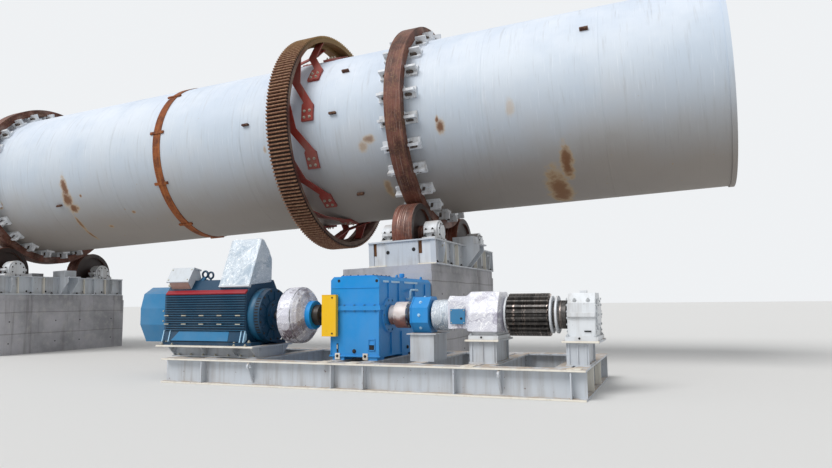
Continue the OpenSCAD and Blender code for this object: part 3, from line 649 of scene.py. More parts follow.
class Coat:
    """Every finish of the plant, by a plain name."""

    shell = DrumPaint(
        "shell paint", "#ccd7e6", 0.52,
        stains=(
            Stain(0.91, 105, 0.13, 0.20), Stain(0.86, 101, 0.06, 0.10),
            Stain(-0.77, 106, 0.20, 0.12, 0.7), Stain(-0.95, 110, 0.14, 0.16, 0.5),
            Stain(3.42, 136, 0.16, 0.55, 0.9), Stain(3.15, 160, 0.30, 0.9, 0.8),
            Stain(-10.10, 108, 0.15, 0.40), Stain(-10.12, 117, 0.21, 0.28),
            Stain(-10.02, 125, 0.22, 0.18), Stain(-10.17, 138, 0.07, 0.35, 0.8),
            Stain(-10.19, 152, 0.06, 0.30, 0.8), Stain(-9.60, 116, 0.05, 0.06, 0.8),
            Stain(-8.08, 134, 0.08, 0.06, 0.7), Stain(-9.2, 145, 0.10, 0.08, 0.7),
            Stain(2.45, 101, 0.12, 0.25, 0.35), Stain(-12.75, 114, 0.12, 0.16, 0.8),
            Stain(-3.5, 103, 0.05, 0.10, 0.5), Stain(-0.62, 140, 0.12, 0.35, 0.6),
        ),
        welds=(-17.30, -10.90, -8.35, -4.20, 1.85, 4.25),
    )
    pads = SitePaint("pad paint", "#dfe3e8", 0.5, dust=0.25, soil=0.55, chips=0.9)
    frames = SitePaint("frame paint", "#c6ccd3", 0.46, dust=0.75, soil=0.50, chips=0.7)
    housings = SitePaint("housing paint", "#dce0e4", 0.42, dust=0.35, soil=0.45, chips=0.5)
    oxide = SitePaint("spring paint", "#8f2a1d", 0.55, dust=0.05, soil=0.45, chips=0.9)
    pale_box = SitePaint("box paint", "#c8ced4", 0.42, dust=0.35, soil=0.25, chips=0.3)
    edges = SitePaint("edge paint", "#e9e4d8", 0.5, dust=0.6, soil=0.30, chips=0.6)
    pale_edge = SitePaint("pale blue edge", "#a9d3ee", 0.4, dust=0.15, soil=0.10, chips=0.2)
    pale_bolt = SitePaint("painted bolts", "#c3c8cc", 0.45, dust=0.2, soil=0.4, chips=0.4)
    seen_box = SitePaint("large box paint", "#6d9cb8", 0.40, dust=0.10, soil=0.1, chips=0.1, coat=0.15)
    # Brownish-pink paint that stands for the shade under the small box's lid.
    darkened = SitePaint("soiled box front", "#a98a80", 0.55, dust=0.2, soil=0.6, chips=0.4)
    navy = DrivePaint("motor paint", "#0f3c58", 0.40, dust=0.14, soil=0.05, chips=0.10)
    sky = DrivePaint("cowl paint", "#2076a6", 0.38, dust=0.16, soil=0.08, chips=0.06, coat=0.08)
    blue = DrivePaint("gearbox paint", "#008cd6", 0.42, soil=0.05, coat=0.04, shine=0.2)
    yellow = DrivePaint("guard paint", "#f0bd00", 0.42, soil=0.08, chips=0.2, coat=0.04)
    crimson = DrivePaint("strip paint", "#930a20", 0.40, dust=0.05, chips=0.05)
    fins = DrivePaint("fin paint", "#1d5a7b", 0.38, dust=0.16, chips=0.05)
    neck = HalfRusted("neck paint", "#dcd3cf", 0.50, 0.1)
    tyre = RustedRing("tyre rust", "#6e4236", 0.52, 0.25)
    # The rollers' end faces are painted near-black as shade.
    roller = RustedRing(
        "roller rust", "#703a2a", 0.45, 0.12, dark="#4f2a1f", bright="#8d5d47", polish=0.5, ends="#1d1715"
    )
    band = RustedRing("band rust", "#8d4a20", 0.75, 0.0, dark="#5f2c12", bright="#b2713a", polish=0.0)
    lug = RustedRing("lug rust", "#54382c", 0.75, 0.1, polish=0.0)
    wedge = RustedRing("wedge rust", "#5b5049", 0.7, 0.1, dark="#453b35", bright="#7b7068", polish=0.0)
    pinion = RustedRing("pinion steel", "#53504e", 0.36, 0.6, dark="#3a3837", bright="#7d7b78", polish=0.5)
    inner = RustedRing("inner rust", "#6b4422", 0.8, 0.0, dark="#4a2c18", bright="#7d5530", polish=0.0)
    gear = ToothedRust("gear rust", "#7d5540", 0.60, 0.15)
    concrete = CastConcrete("pier concrete", "#bdbcc1", 0.85)
    film = WrapFilm("packing film", "#e6e6f0", 0.24)
    round_film = WrapFilm("coupling film", "#e6e6f2", 0.20, shadow="#77676f", darkened=0.45)
    box_film = WrapFilm("box film", "#dbe6f0", 0.24, shadow="#6f95b2", hide=0.60, darkened=0.25, depth=0.35)
    steel = TurnedSteel("turned steel", "#8e9094", 0.38, 0.85)
    zinc = Finish("zinc", "#b9b6a8", 0.42, 0.6)
    oily = Finish("oily steel", "#3a3634", 0.40, 0.6)
    # Near-black paint that stands for the shade inside holes, slots and recesses that are not cut.
    dark = Finish("dark recess", "#15171a", 0.8)


@dataclass
class Shape:
    """Points and polygons of a surface, before it is a mesh.

    Attributes:
        points: One row of three places for each point.
        faces: Arrays of point numbers, each with polygons of one size.
    """

    points: np.ndarray
    faces: list[np.ndarray]

    def placed(self, turn: ArrayLike, offset: ArrayLike) -> "Shape":
        """The shape turned by a matrix and then moved."""
        return Shape(self.points @ np.asarray(turn).T + np.asarray(offset), self.faces)

    def moved(self, *offset: float) -> "Shape":
        """The shape moved along the three axes."""
        return Shape(self.points + np.array(offset), self.faces)

    def copied(self, spots: np.ndarray, turns: np.ndarray) -> "Shape":
        """A copy at each place, turned by that place's matrix.

        Args:
            spots: One row for each copy.
            turns: One matrix for each copy.

        Returns:
            All copies as one shape.
        """
        points = np.einsum("nij,kj->nki", turns, self.points) + spots[:, None]
        starts = np.arange(len(spots))[:, None, None] * len(self.points)
        faces = [(f[None] + starts).reshape(-1, f.shape[1]) for f in self.faces]
        return Shape(points.reshape(-1, 3), faces)

    def scattered(self, spots: ArrayLike, directions: ArrayLike) -> "Shape":
        """A copy at each place, with its +X turned to that place's direction.

        Args:
            spots: One row for each copy, or one place.
            directions: One row for each copy, or one for all.

        Returns:
            All copies as one shape.
        """
        spots = np.atleast_2d(np.asarray(spots, float))
        return self.copied(spots, facing(np.broadcast_to(directions, spots.shape)))


class Axis(Enum):
    """The row axis that a shape is carried along, as the order of its own directions."""

    X = (0, 1, 2)
    Z = (1, 2, 0)

    def lay(self, points: np.ndarray) -> np.ndarray:
        """Points given as along, first and second direction, in the row's order."""
        return points[..., list(self.value)]


def facing(directions: np.ndarray) -> np.ndarray:
    """Matrices that turn +X to each direction and keep +Z as upright as it can be.

    Args:
        directions: One row for each matrix.

    Returns:
        The matrices.
    """
    ahead = directions / np.linalg.norm(directions, axis=1, keepdims=True)
    upright = np.where(np.abs(ahead[:, 2:]) < 0.95, [[0.0, 0.0, 1.0]], [[0.0, 1.0, 0.0]])
    side = np.cross(upright, ahead)
    side /= np.linalg.norm(side, axis=1, keepdims=True)
    return np.stack([ahead, side, np.cross(ahead, side)], -1)


def joined(shapes: list[Shape]) -> Shape:
    """Several shapes as one."""
    starts = np.cumsum([0] + [len(s.points) for s in shapes[:-1]])
    faces = [f + start for s, start in zip(shapes, starts) for f in s.faces]
    return Shape(np.vstack([s.points for s in shapes]), faces)


def grid(points: np.ndarray, round_u: bool = False, round_v: bool = False) -> Shape:
    """A surface of quads over rows and columns of points.

    Args:
        points: Rows, columns and three places.
        round_u: Whether the last row joins the first.
        round_v: Whether the last column joins the first.

    Returns:
        The surface.
    """
    rows, columns = points.shape[:2]
    number = np.arange(rows * columns).reshape(rows, columns)
    u = np.arange(rows if round_u else rows - 1)[:, None]
    v = np.arange(columns if round_v else columns - 1)[None]
    u_next, v_next = (u + 1) % rows, (v + 1) % columns
    quads = np.stack([number[u, v], number[u, v_next], number[u_next, v_next], number[u_next, v]], -1)
    return Shape(points.reshape(-1, 3), [quads.reshape(-1, 4)])


def inset(outline: np.ndarray, depth: float) -> np.ndarray:
    """Moves every side of an anticlockwise outline inwards by a depth, with mitred corners."""
    edges = np.roll(outline, -1, 0) - outline
    out = np.stack([edges[:, 1], -edges[:, 0]], 1) / np.linalg.norm(edges, axis=1, keepdims=True)
    before = np.roll(out, 1, 0)
    return outline - depth * (out + before) / (1 + np.sum(out * before, 1, keepdims=True))


def prism(outline: ArrayLike, start: float, end: float, bevel: float = 0.0, axis: Axis = Axis.X) -> Shape:
    """Carries an outline along an axis, with both ends cut back by a bevel.

    Args:
        outline: Its points across the axis, anticlockwise.
        start: Where it starts.
        end: Where it ends.
        bevel: The width of the bevel.
        axis: The axis.

    Returns:
        A closed shape.
    """
    outline = np.asarray(outline, float)
    rims = [(start, 0.0), (end, 0.0)]
    if bevel:
        rims = [(start, bevel), (start + bevel, 0.0), (end - bevel, 0.0), (end, bevel)]
    rings = [np.column_stack([np.full(len(outline), a), inset(outline, d)]) for a, d in rims]
    shape = grid(axis.lay(np.stack(rings)), round_v=True)
    first = np.arange(len(outline))
    shape.faces.append(np.stack([first[::-1], first + len(outline) * (len(rims) - 1)]))
    return shape


def block(low: ArrayLike, high: ArrayLike, bevel: float = 0.004) -> Shape:
    """A box between two corners, with every edge cut back by a bevel."""
    (x0, y0, z0), (x1, y1, z1) = low, high
    b = bevel
    outline = [
        [y0 + b, z0], [y1 - b, z0], [y1, z0 + b], [y1, z1 - b],
        [y1 - b, z1], [y0 + b, z1], [y0, z1 - b], [y0, z0 + b],
    ]
    return prism(outline, x0, x1, bevel)


def turned(profile: ArrayLike, sides: int = 48, axis: Axis = Axis.X, ring: bool = False) -> Shape:
    """Turns a profile about an axis.

    Args:
        profile: Its points as distance along the axis and radius.
        sides: How many steps go round.
        axis: The axis.
        ring: Whether the profile closes on itself instead of ending on the axis.

    Returns:
        The surface.
    """
    profile = np.asarray(profile, float)
    angle = np.linspace(0, FULL_TURN, sides, endpoint=False)
    radius = profile[:, 1:]
    along = np.broadcast_to(profile[:, :1], (len(profile), sides))
    points = np.stack([along, radius * np.cos(angle), radius * np.sin(angle)], -1)
    return grid(axis.lay(points), ring, True)


def disc(start: float, end: float, radius: float, bevel: float = 0.004, sides: int = 32) -> Shape:
    """A round plate or boss along +X, with bevelled rims."""
    rim = radius - bevel
    profile = [
        (start, 0), (start, rim), (start + bevel, radius),
        (end - bevel, radius), (end, rim), (end, 0),
    ]
    return turned(profile, sides)


def collar(start: float, end: float, bore: float, radius: float, bevel: float, sides: int = 64) -> Shape:
    """A round collar along +X with a bore, and a bevel on the rim at its end."""
    profile = [(start, bore), (start, radius), (end - bevel, radius), (end, radius - bevel), (end, bore)]
    return turned(profile, sides, ring=True)


def circle(count: int, radius: float, phase: float = 0.0) -> np.ndarray:
    """Points round the X axis, the first one phase turns from +Y."""
    angle = (np.arange(count) / count + phase) * FULL_TURN
    return np.stack([np.zeros(count), radius * np.cos(angle), radius * np.sin(angle)], 1)


def polygon(count: int, radius: float, phase: float = 0.0) -> np.ndarray:
    """Corners of a regular outline across the X axis."""
    return circle(count, radius, phase)[:, 1:]


def swung(shape: Shape, angles: ArrayLike) -> Shape:
    """Copies of a shape, each turned about the X axis by one of the angles."""
    c, s = np.cos(angles), np.sin(angles)
    one, none = np.ones_like(c), np.zeros_like(c)
    turns = np.stack([one, none, none, none, c, -s, none, s, c], -1).reshape(-1, 3, 3)
    return shape.copied(np.zeros((len(turns), 3)), turns)


def tube(path: ArrayLike, radius: float, sides: int = 10, ring: bool = False) -> Shape:
    """Carries a circle along a path that lies near one plane, each ring square to the path.

    Args:
        path: The points of its middle line.
        radius: The tube's radius.
        sides: How many steps go round.
        ring: Whether the path closes on itself.

    Returns:
        A closed shape.
    """
    path = np.asarray(path, float)
    ahead = np.roll(path, -1, 0) - np.roll(path, 1, 0) if ring else np.gradient(path, axis=0)
    ahead /= np.linalg.norm(ahead, axis=1, keepdims=True)
    across = np.linalg.svd(path - path.mean(0))[2][-1]
    side = np.cross(ahead, across)
    side /= np.linalg.norm(side, axis=1, keepdims=True)
    size = np.full(len(path), radius)
    if not ring:
        path, side, ahead = (np.vstack([a[:1], a, a[-1:]]) for a in (path, side, ahead))
        size = np.concatenate([[0.0], size, [0.0]])
    angle = np.linspace(0, FULL_TURN, sides, endpoint=False)[None, :, None]
    over = np.cross(ahead, side)
    rounded = np.cos(angle) * side[:, None] + np.sin(angle) * over[:, None]
    return grid(path[:, None] + size[:, None, None] * rounded, ring, True)


def bolts(spots: ArrayLike, directions: ArrayLike, size: float, stud: bool = False) -> Shape:
    """Hexagon heads on washers.

    Args:
        spots: Where each one sits.
        directions: The way that each one points, or one direction for all.
        size: Half its width over corners.
        stud: Whether a threaded end stands out of it, as out of a nut.

    Returns:
        All of them as one shape.
    """
    washer = turned([(0, 0), (0, 1.4 * size), (0.2 * size, 1.35 * size), (0.2 * size, 0)], 14)
    parts = [washer, prism(polygon(6, size), 0.2 * size, 1.0 * size, 0.12 * size)]
    if stud:
        thread, tip = 0.55 * size, 1.7 * size
        profile = [(size, 0), (size, thread), (1.6 * size, thread), (tip, 0.42 * size), (tip, 0)]
        parts.append(turned(profile, 10))
    return joined(parts).scattered(spots, np.asarray(directions, float))


def studs(spots: ArrayLike, size: float) -> Shape:
    """Upright nuts with their threaded ends."""
    return bolts(spots, UP, size, stud=True)


def creases(u: np.ndarray, v: np.ndarray, seed: int, waves: int = 9) -> np.ndarray:
    """Folds of a thin film: a sum of sharp-crested waves in random directions, finer ones lower.

    Args:
        u: First place on the film, in metres.
        v: Second place on the film, in metres.
        seed: Picks the directions.
        waves: How many waves are added.

    Returns:
        Heights from about minus one to one.
    """
    draw = np.random.default_rng(seed)
    total = np.zeros(np.broadcast(u, v).shape)
    finer = 1.35
    for k in range(waves):
        heading, pitch = draw.uniform(0, math.pi), draw.uniform(0.6, 1.4) * 7.0 * finer**k
        phase = draw.uniform(0, FULL_TURN)
        bend = 0.35 * np.sin(3.1 * u * (k + 1) + 2.3 * v + phase)
        ahead = u * math.cos(heading) + v * math.sin(heading)
        total += (1 - 2 * np.abs(np.sin(ahead * pitch / 2 + phase + bend))) / finer**k
    return total / 3.0


def mirrored(shape: Shape, over_x: bool = True, over_y: bool = True) -> Shape:
    """A shape with its mirror images over the upright planes through the origin.

    Args:
        shape: The shape.
        over_x: Whether it is mirrored along X.
        over_y: Whether it is mirrored along Y.

    Returns:
        Two or four copies as one shape.
    """
    signs = [(x, y) for x in ((1, -1) if over_x else (1,)) for y in ((1, -1) if over_y else (1,))]
    return joined([Shape(shape.points * (x, y, 1.0), shape.faces) for x, y in signs])


def symmetric(right: list[tuple[float, float]]) -> list[tuple[float, float]]:
    """An outline across the X axis from its right half, which is given from bottom to top."""
    return [*right, *((-across, height) for across, height in reversed(right))]


def slab(corners: ArrayLike, depth: ArrayLike) -> Shape:
    """A flat plate between four corners and the same corners moved by a depth."""
    near = np.asarray(corners, float)
    points = np.vstack([near, near + np.asarray(depth, float)])
    faces = np.array([[0, 1, 2, 3], [7, 6, 5, 4], [0, 4, 5, 1], [1, 5, 6, 2], [2, 6, 7, 3], [3, 7, 4, 0]])
    return Shape(points, [faces])


def panel(x0: float, x1: float, low: ArrayLike, high: ArrayLike, depth: ArrayLike) -> Shape:
    """A flat plate between two lines along X, each given by its place across and its height."""
    return slab([(x0, *low), (x1, *low), (x1, *high), (x0, *high)], depth)


def spread(start: float, end: float, count: int) -> np.ndarray:
    """Evenly spaced places with both ends among them."""
    return np.linspace(start, end, count)


def places(*axes: ArrayLike) -> np.ndarray:
    """Every mix of the places given for the three axes, one row each."""
    return np.stack(np.meshgrid(*[np.atleast_1d(a) for a in axes], indexing="ij"), -1).reshape(-1, 3)


def polar(outline: ArrayLike, count: int) -> np.ndarray:
    """How far an outline lies from its middle, at evenly spaced angles.

    Args:
        outline: Corners of a shape that its middle sees whole.
        count: How many angles.

    Returns:
        The outline's middle in the first row, then the points seen at each angle from it.
    """
    corners = np.asarray(outline, float)
    middle = (corners.min(0) + corners.max(0)) / 2
    share = np.linspace(0, 1, 40, endpoint=False)[:, None]
    dense = np.concatenate([a + (b - a) * share for a, b in zip(corners, np.roll(corners, -1, 0))]) - middle
    angle = np.arctan2(dense[:, 1], dense[:, 0])
    order = np.argsort(angle)
    radius = np.hypot(*dense[order].T)
    wanted = np.linspace(-math.pi, math.pi, count, endpoint=False)
    reach = np.interp(wanted, angle[order], radius, period=FULL_TURN)
    return np.vstack([middle, middle + reach[:, None] * np.stack([np.cos(wanted), np.sin(wanted)], 1)])


def wrapped(keys: list, depth: float, seed: int, around: int, rows: int, bore: float = 0.0) -> Shape:
    """Film pulled round a row of outlines, with creases.

    The film's outline is blended from key to key, and each point moves away from the middle by the
    creases' height. Both ends close on a pole, or else on a bore for a shaft.

    Args:
        keys: Places along X, each with the outline of what the film lies on there.
        depth: Height of the creases.
        seed: Picks the creases.
        around: Points round the film.
        rows: Rows of points along it.
        bore: Radius of the bore along the X axis, or zero for none.

    Returns:
        A closed surface.
    """
    along = np.array([place for place, _ in keys])
    rings = np.stack([polar(outline, around) for _, outline in keys])
    at = np.linspace(along[0], along[-1], rows)
    number = np.clip(np.searchsorted(along, at, side="right") - 1, 0, len(along) - 2)
    share = ((at - along[number]) / (along[number + 1] - along[number]))[:, None, None]
    share = share * share * (3 - 2 * share) * 0.5 + share * 0.5
    ring = rings[number] * (1 - share) + rings[number + 1] * share
    middle, rim = ring[:, :1], ring[:, 1:]
    reach = rim - middle
    radius = np.linalg.norm(reach, axis=2, keepdims=True)
    turn = np.linspace(0, FULL_TURN, around, endpoint=False)
    size = radius.mean()
    high = creases(at[:, None] * 1.3, np.cos(turn)[None] * size, seed)
    high = high + creases(at[:, None], np.sin(turn)[None] * size, seed + 1)
    rim = rim + reach / radius * depth * (0.55 + 0.5 * high[..., None])
    points = np.concatenate([np.broadcast_to(at[:, None, None], (*rim.shape[:2], 1)), rim], 2)
    first, last = (np.broadcast_to([at[end], *middle[end, 0]], (1, around, 3)) for end in (0, -1))
    if bore:
        hole = polygon(around, bore, 0.5)
        first, last = (np.column_stack([np.full(around, at[end]), hole])[None] for end in (0, -1))
    return grid(np.vstack([first, points, last]), bool(bore), True)


def piece(name: str, shapes: list[Shape], finish: Finish, body: str) -> None:
    """Makes one named object of the plant.

    Args:
        name: The object's name.
        shapes: The closed shapes that it is made of.
        finish: Its finish.
        body: The body that it rides on.
    """
    shape = joined(shapes)
    mesh = bpy.data.meshes.new(name)
    mesh.from_pydata(shape.points.tolist(), [], [f for group in shape.faces for f in group.tolist()])
    work = bmesh.new()
    work.from_mesh(mesh)
    bmesh.ops.remove_doubles(work, verts=work.verts, dist=WELD_DISTANCE)
    bmesh.ops.recalc_face_normals(work, faces=work.faces)
    work.to_mesh(mesh)
    work.free()
    mesh.shade_smooth()
    mesh.set_sharp_from_angle(angle=SHARP_ANGLE)
    mesh.materials.append(finish.material())
    made = bpy.data.objects.new(name, mesh)
    bpy.context.scene.collection.objects.link(made)
    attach(made, body)
    log.info("%s: %d faces on %s", name, len(mesh.polygons), body)


def dress(finish: Finish, *nodes: str) -> None:
    """Gives nodes of the frame a finish."""
    for name in nodes:
        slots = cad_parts[name].data.materials
        slots.clear()
        slots.append(finish.material())


def span(node: str) -> tuple[np.ndarray, np.ndarray]:
    """The lowest and highest corner of a node."""
    low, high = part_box(node)
    return np.array(low), np.array(high)


@dataclass
class Drum:
    """The turning drum: shell, tyres, gear and what is fixed to them.

    Attributes:
        tyres: Distances of both tyres from the main tyre.
        pads: How many pads carry a tyre.
        tyre_half: Half a tyre's width.
        stop_l: Length of a stop block.
        gear_x: Distance of the gear's middle.
        springs: Spring plates in each row.
        foot_x: Distance from the gear's middle to a row of feet.
        foot_top: Height of a foot's top over the shell.
    """

    tyres: tuple[float, float] = (-13.12, 0.0)
    pads: int = 24
    tyre_half: float = 0.1925
    stop_l: float = 0.25
    gear_x: float = -2.722
    springs: int = 12
    foot_x: float = 0.452
    foot_top: float = 0.052

    def build(self) -> None:
        """Dresses the drum's nodes and adds its small parts."""
        dress(Coat.shell, "shell_tail", "shell_middle", "shell_head", "end_ring_tail", "end_ring_head")
        dress(Coat.pads, "tyre_pads_tail", "tyre_pads_main")
        dress(Coat.tyre, "tyre_tail", "tyre_main")
        dress(Coat.gear, "girth_gear")
        dress(Coat.oxide, "gear_springs")
        dress(Coat.band, "shell_band")
        dress(Coat.lug, "shell_lugs")
        self.weld_beads()
        self.spring_bolts()
        self.stop_wedges()

    def weld_beads(self) -> None:
        """Weld beads round the shell and along its plates: low arches of wavy height."""
        step = np.linspace(0, FULL_TURN, 360, endpoint=False)
        ripple = 0.003 + 0.0012 * np.sin(step * 150)
        section = np.array([(-0.014, -0.004), (-0.009, 0.6), (0.0, 1.0), (0.009, 0.6), (0.014, -0.004)])
        beads = []
        for place in Coat.shell.welds:
            along = np.broadcast_to(section[:, :1] + place, (5, 360))
            radius = DRUM.shell_r + section[:, 1:] * np.where(section[:, 1:] > 0, ripple, 1.0)
            rings = np.stack([along, -radius * np.sin(step), radius * np.cos(step)], -1)
            beads.append(DRUM.laid(grid(rings, True, True)))
        piece("shell_welds", beads, Coat.shell, "drum")

    def spring_bolts(self) -> None:
        """Four bolts with nuts on each spring foot, in two rows along it."""
        pitch = 360 / self.springs
        shapes = []
        for side, shift in ((1, -0.2), (-1, 0.3)):
            _, out = DRUM.on_shell(0.0, (np.arange(self.springs) + shift) * pitch)
            tangent = np.stack([out[:, 0], out[:, 2], -out[:, 1]], 1)
            for dx, lean in ((-0.07, -1), (0.07, -1), (-0.07, 0.4), (0.07, 0.4)):
                spots = out * (DRUM.shell_r + self.foot_top) + tangent * 0.11 * lean
                spots[:, 0] = self.gear_x + side * self.foot_x + dx
                shapes.append(bolts(spots, out, 0.026, stud=True))
        piece("spring_bolts", [DRUM.laid(s) for s in shapes], Coat.zinc, "drum")

    def stop_wedges(self) -> None:
        """Dark wedges and keeper plates beside the stop blocks of both tyres."""
        angles = (np.arange(self.pads) + 0.5) * 360 / self.pads
        wedge = prism([(-0.040, 0.0), (0.040, 0.0), (0.026, 0.05), (-0.032, 0.07)], -0.022, 0.022, 0.004)
        keeper = block((-0.006, -0.03, 0.0), (0.006, 0.03, 0.11), 0.002)
        shapes = []
        for tyre in self.tyres:
            for side in (-1, 1):
                middle = tyre + side * (self.tyre_half + self.stop_l / 2)
                forms = ((wedge, 1.75, 0.0), (wedge, 1.75, -0.075 * side), (keeper, -1.3, -0.08 * side))
                for form, turn, shift in forms:
                    spots, out = DRUM.on_shell(middle + shift, angles + turn, 0.05)
                    tangent = np.stack([out[:, 0], -out[:, 2], out[:, 1]], 1)
                    turns = np.stack([tangent, np.broadcast_to(RIGHT, out.shape), out], -1)
                    shapes.append(DRUM.laid(form.copied(spots, turns)))
        piece("tyre_stop_wedges", shapes, Coat.wedge, "drum")


@dataclass
class RollerStation:
    """A pier with its base frame, four bearings and two rollers, in the sloping drum's directions.

    Attributes:
        name: The end of the drum that it stands at.
        place: Distance of its tyre from the main tyre.
        roller_y: Distance of the roller axes from the middle plane.
        roller_z: Height of the roller axes from the drum axis.
        seat: Height of a roller axis over the base frame.
        frame_h: Height of the base frame.
        frame_y: Half the base frame's width.
        webs: Distances of a girder's webs from the tyre's middle.
        web: Thickness of a web.
        edge: Distance of a girder's outer edge.
        bearing: Distances of a bearing's ends from the tyre's middle.
        end_plate: Distance of the plates in the girder ends from the middle plane.
        end_gaps: Reach of the rusty gap in a lower and in an upper girder's end.
        stiffeners: Places of the stiffeners on the outer webs.
        pier: Lower reach, upper reach and half width of the pier.
        tie_holes: Places of the tie holes across the pier.
    """

    name: str
    place: float
    roller_y: float = 1.5191
    roller_z: float = -2.7405
    seat: float = 0.19
    frame_h: float = 0.54
    frame_y: float = 2.23
    webs: tuple[float, float] = (0.35, 0.68)
    web: float = 0.03
    edge: float = 0.765
    bearing: tuple[float, float] = (0.335, 0.635)
    end_plate: float = 2.21
    end_gaps: tuple[tuple[float, float], ...] = ((-0.648, -0.587), (0.384, 0.455))
    stiffeners: tuple[float, ...] = (-1.55, -0.72, 0.72, 1.55)
    pier: tuple[float, float, float] = (1.36, 0.71, 2.36)
    tie_holes: tuple[float, ...] = (-1.75, -0.25, 0.62, 1.85)

    @property
    def top(self) -> float:
        """Height of the base frame's top from the drum axis."""
        return self.roller_z - self.seat

    @property
    def low(self) -> float:
        """Height of the base frame's underside from the drum axis."""
        return self.top - self.frame_h

    def build(self) -> None:
        """Dresses the station's nodes and adds its small parts."""
        dress(Coat.concrete, f"pier_{self.name}")
        dress(Coat.frames, f"base_frame_{self.name}")
        dress(Coat.housings, f"bearings_{self.name}_near", f"bearings_{self.name}_far")
        dress(Coat.roller, f"roller_{self.name}_near", f"roller_{self.name}_far")
        self.housing_parts()
        self.girder_ends()
        self.frame_holes()
        self.frame_edges()
        self.fasteners()
        self.pier_parts()

    def add(self, name: str, shapes: list[Shape], finish: Finish, slot: str) -> None:
        """Lays shapes at this station and makes a piece of them."""
        laid = [DRUM.laid(shape.moved(self.place, 0.0, 0.0)) for shape in shapes]
        piece(f"{name}_{self.name}", laid, finish, "base")

    def housing_parts(self) -> None:
        """Split flanges, pads, ribs and end covers of the bearings, drawn at one and mirrored to all four."""
        inner, outer = self.bearing
        y, z = -self.roller_y, self.roller_z
        ears = [
            block((inner + 0.03, ear - 0.042, z - 0.034), (outer - 0.03, ear + 0.042, z + 0.034), 0.008)
            for ear in (y - 0.29, y + 0.29)
        ]
        pad = block((outer - 0.10, y - 0.268, z - 0.12), (outer - 0.02, y - 0.20, z - 0.02), 0.006)
        ribs = []
        for side in (-1, 1):
            foot, toe, top = y + side * 0.26, y + side * 0.35, y + side * 0.262
            outline = [(foot, z - 0.13), (toe, z - 0.13), (top, z - 0.03)][::side]
            ribs += [prism(outline, x - 0.012, x + 0.012, 0.003) for x in (inner + 0.06, outer - 0.06)]
        cap = disc(0.0, 0.022, 0.150, 0.006, 40).moved(outer + 0.036, y, z)
        shapes = [mirrored(s) for s in (*ears, pad, *ribs, cap)]
        self.add("bearing_housing_parts", shapes, Coat.housings, "white_paint")

    def girder_ends(self) -> None:
        """A plate in the end of each girder, with a rusty gap beside its top."""
        inner, outer = self.webs
        low, top, y = self.low, self.top, -self.end_plate
        plates, gaps = [], []
        for side, (gap0, gap1) in zip((-1, 1), self.end_gaps):
            x0, x1 = sorted((side * (inner + self.web + 0.002), side * (outer - self.web - 0.002)))
            plates.append(block((x0, y, low + 0.035), (x1, y + 0.012, top - 0.035), 0.002))
            gaps.append(block((gap0, y - 0.004, top - 0.30), (gap1, y + 0.002, top - 0.036), 0.001))
        plates = [mirrored(shape, over_x=False) for shape in plates]
        self.add("girder_end_plates", plates, Coat.housings, "white_paint")
        gaps = [mirrored(shape, over_x=False) for shape in gaps]
        self.add("girder_end_rust", gaps, Coat.inner, "rusty_steel")

    def frame_holes(self) -> None:
        """Near-black discs painted as the shade in the rope holes of the end plates and the drain holes of
        the outer webs.
        """
        y = -self.frame_y - 0.002
        spots = [(-0.315, y, self.low + 0.30), (0.275, y, self.low + 0.33)]
        holes = disc(0.0, 0.004, 0.040, 0.001, 28).scattered(spots, NEAR)
        spots = places(self.webs[1] + 0.001, [-1.25, -0.62, 0.72, 1.45], self.low + 0.10)
        drains = disc(0.0, 0.004, 0.030, 0.001, 24).scattered(spots, RIGHT)
        shapes = [mirrored(holes, over_x=False), mirrored(drains, over_y=False)]
        self.add("frame_holes", shapes, Coat.dark, "rusty_steel")

    def frame_edges(self) -> None:
        """Edges of the girders' ends and of the stiffeners, as strips of paler cream paint."""
        near = -self.frame_y
        shapes = []
        for side in (-1, 1):
            x0, x1 = sorted((side * (self.webs[0] + 0.01), side * (self.edge + 0.004)))
            for z in (self.top - 0.034, self.low + 0.002):
                shapes.append(block((x0, near - 0.012, z), (x1, near + 0.006, z + 0.030), 0.004))
        x0, x1 = self.webs[1] - 0.004, self.edge - 0.006
        for y in self.stiffeners:
            edge = block((x0, y - 0.010, self.low + 0.03), (x1, y + 0.010, self.top - 0.03), 0.003)
            shapes.append(mirrored(edge, over_y=False))
        self.add("frame_edges", shapes, Coat.edges, "white_paint")

    def fasteners(self) -> None:
        """Studs of the bearing feet and caps, screws of the end covers and anchor bolts of the frame."""
        inner, outer = self.bearing
        y, z = -self.roller_y, self.roller_z
        shapes = [
            studs(places([inner + 0.055, outer - 0.055], [y - 0.325, y + 0.325], z - 0.12), 0.036),
            studs(places([inner + 0.075, outer - 0.075], [y - 0.298, y + 0.298], z + 0.034), 0.026),
            bolts(circle(8, 0.185, 1 / 16) + (outer + 0.036, y, z), RIGHT, 0.016),
            studs(places(self.edge - 0.038, [-2.05, -1.15, -0.45], self.low + 0.03), 0.030),
        ]
        self.add("station_bolts", [mirrored(s) for s in shapes], Coat.oily, "machined_steel")

    def pier_parts(self) -> None:
        """Near-black discs painted as the shade in the shuttering's tie holes, in every lift, on both long
        faces and both ends of the pier.
        """
        low, up, half = self.pier
        slope = DRUM.slope
        middle = self.place * math.cos(slope) - self.low * math.sin(slope)
        floor = DRUM.centre[2] + self.place * math.sin(slope) + self.low * math.cos(slope)
        rows = np.arange(0.32, floor - 0.25, CONCRETE_LIFT)
        near = places([middle - low * 0.72, middle - low * 0.2, middle + up * 0.45], -half - 0.001, rows)
        hole = disc(-0.01, 0.002, 0.020, 0.001, 16)
        shapes = [
            mirrored(hole.scattered(near, NEAR), over_x=False),
            hole.scattered(places(middle + up + 0.001, self.tie_holes, rows), RIGHT),
            hole.scattered(places(middle - low - 0.001, self.tie_holes, rows), LEFT),
        ]
        piece(f"pier_tie_holes_{self.name}", shapes, Coat.dark, "base")


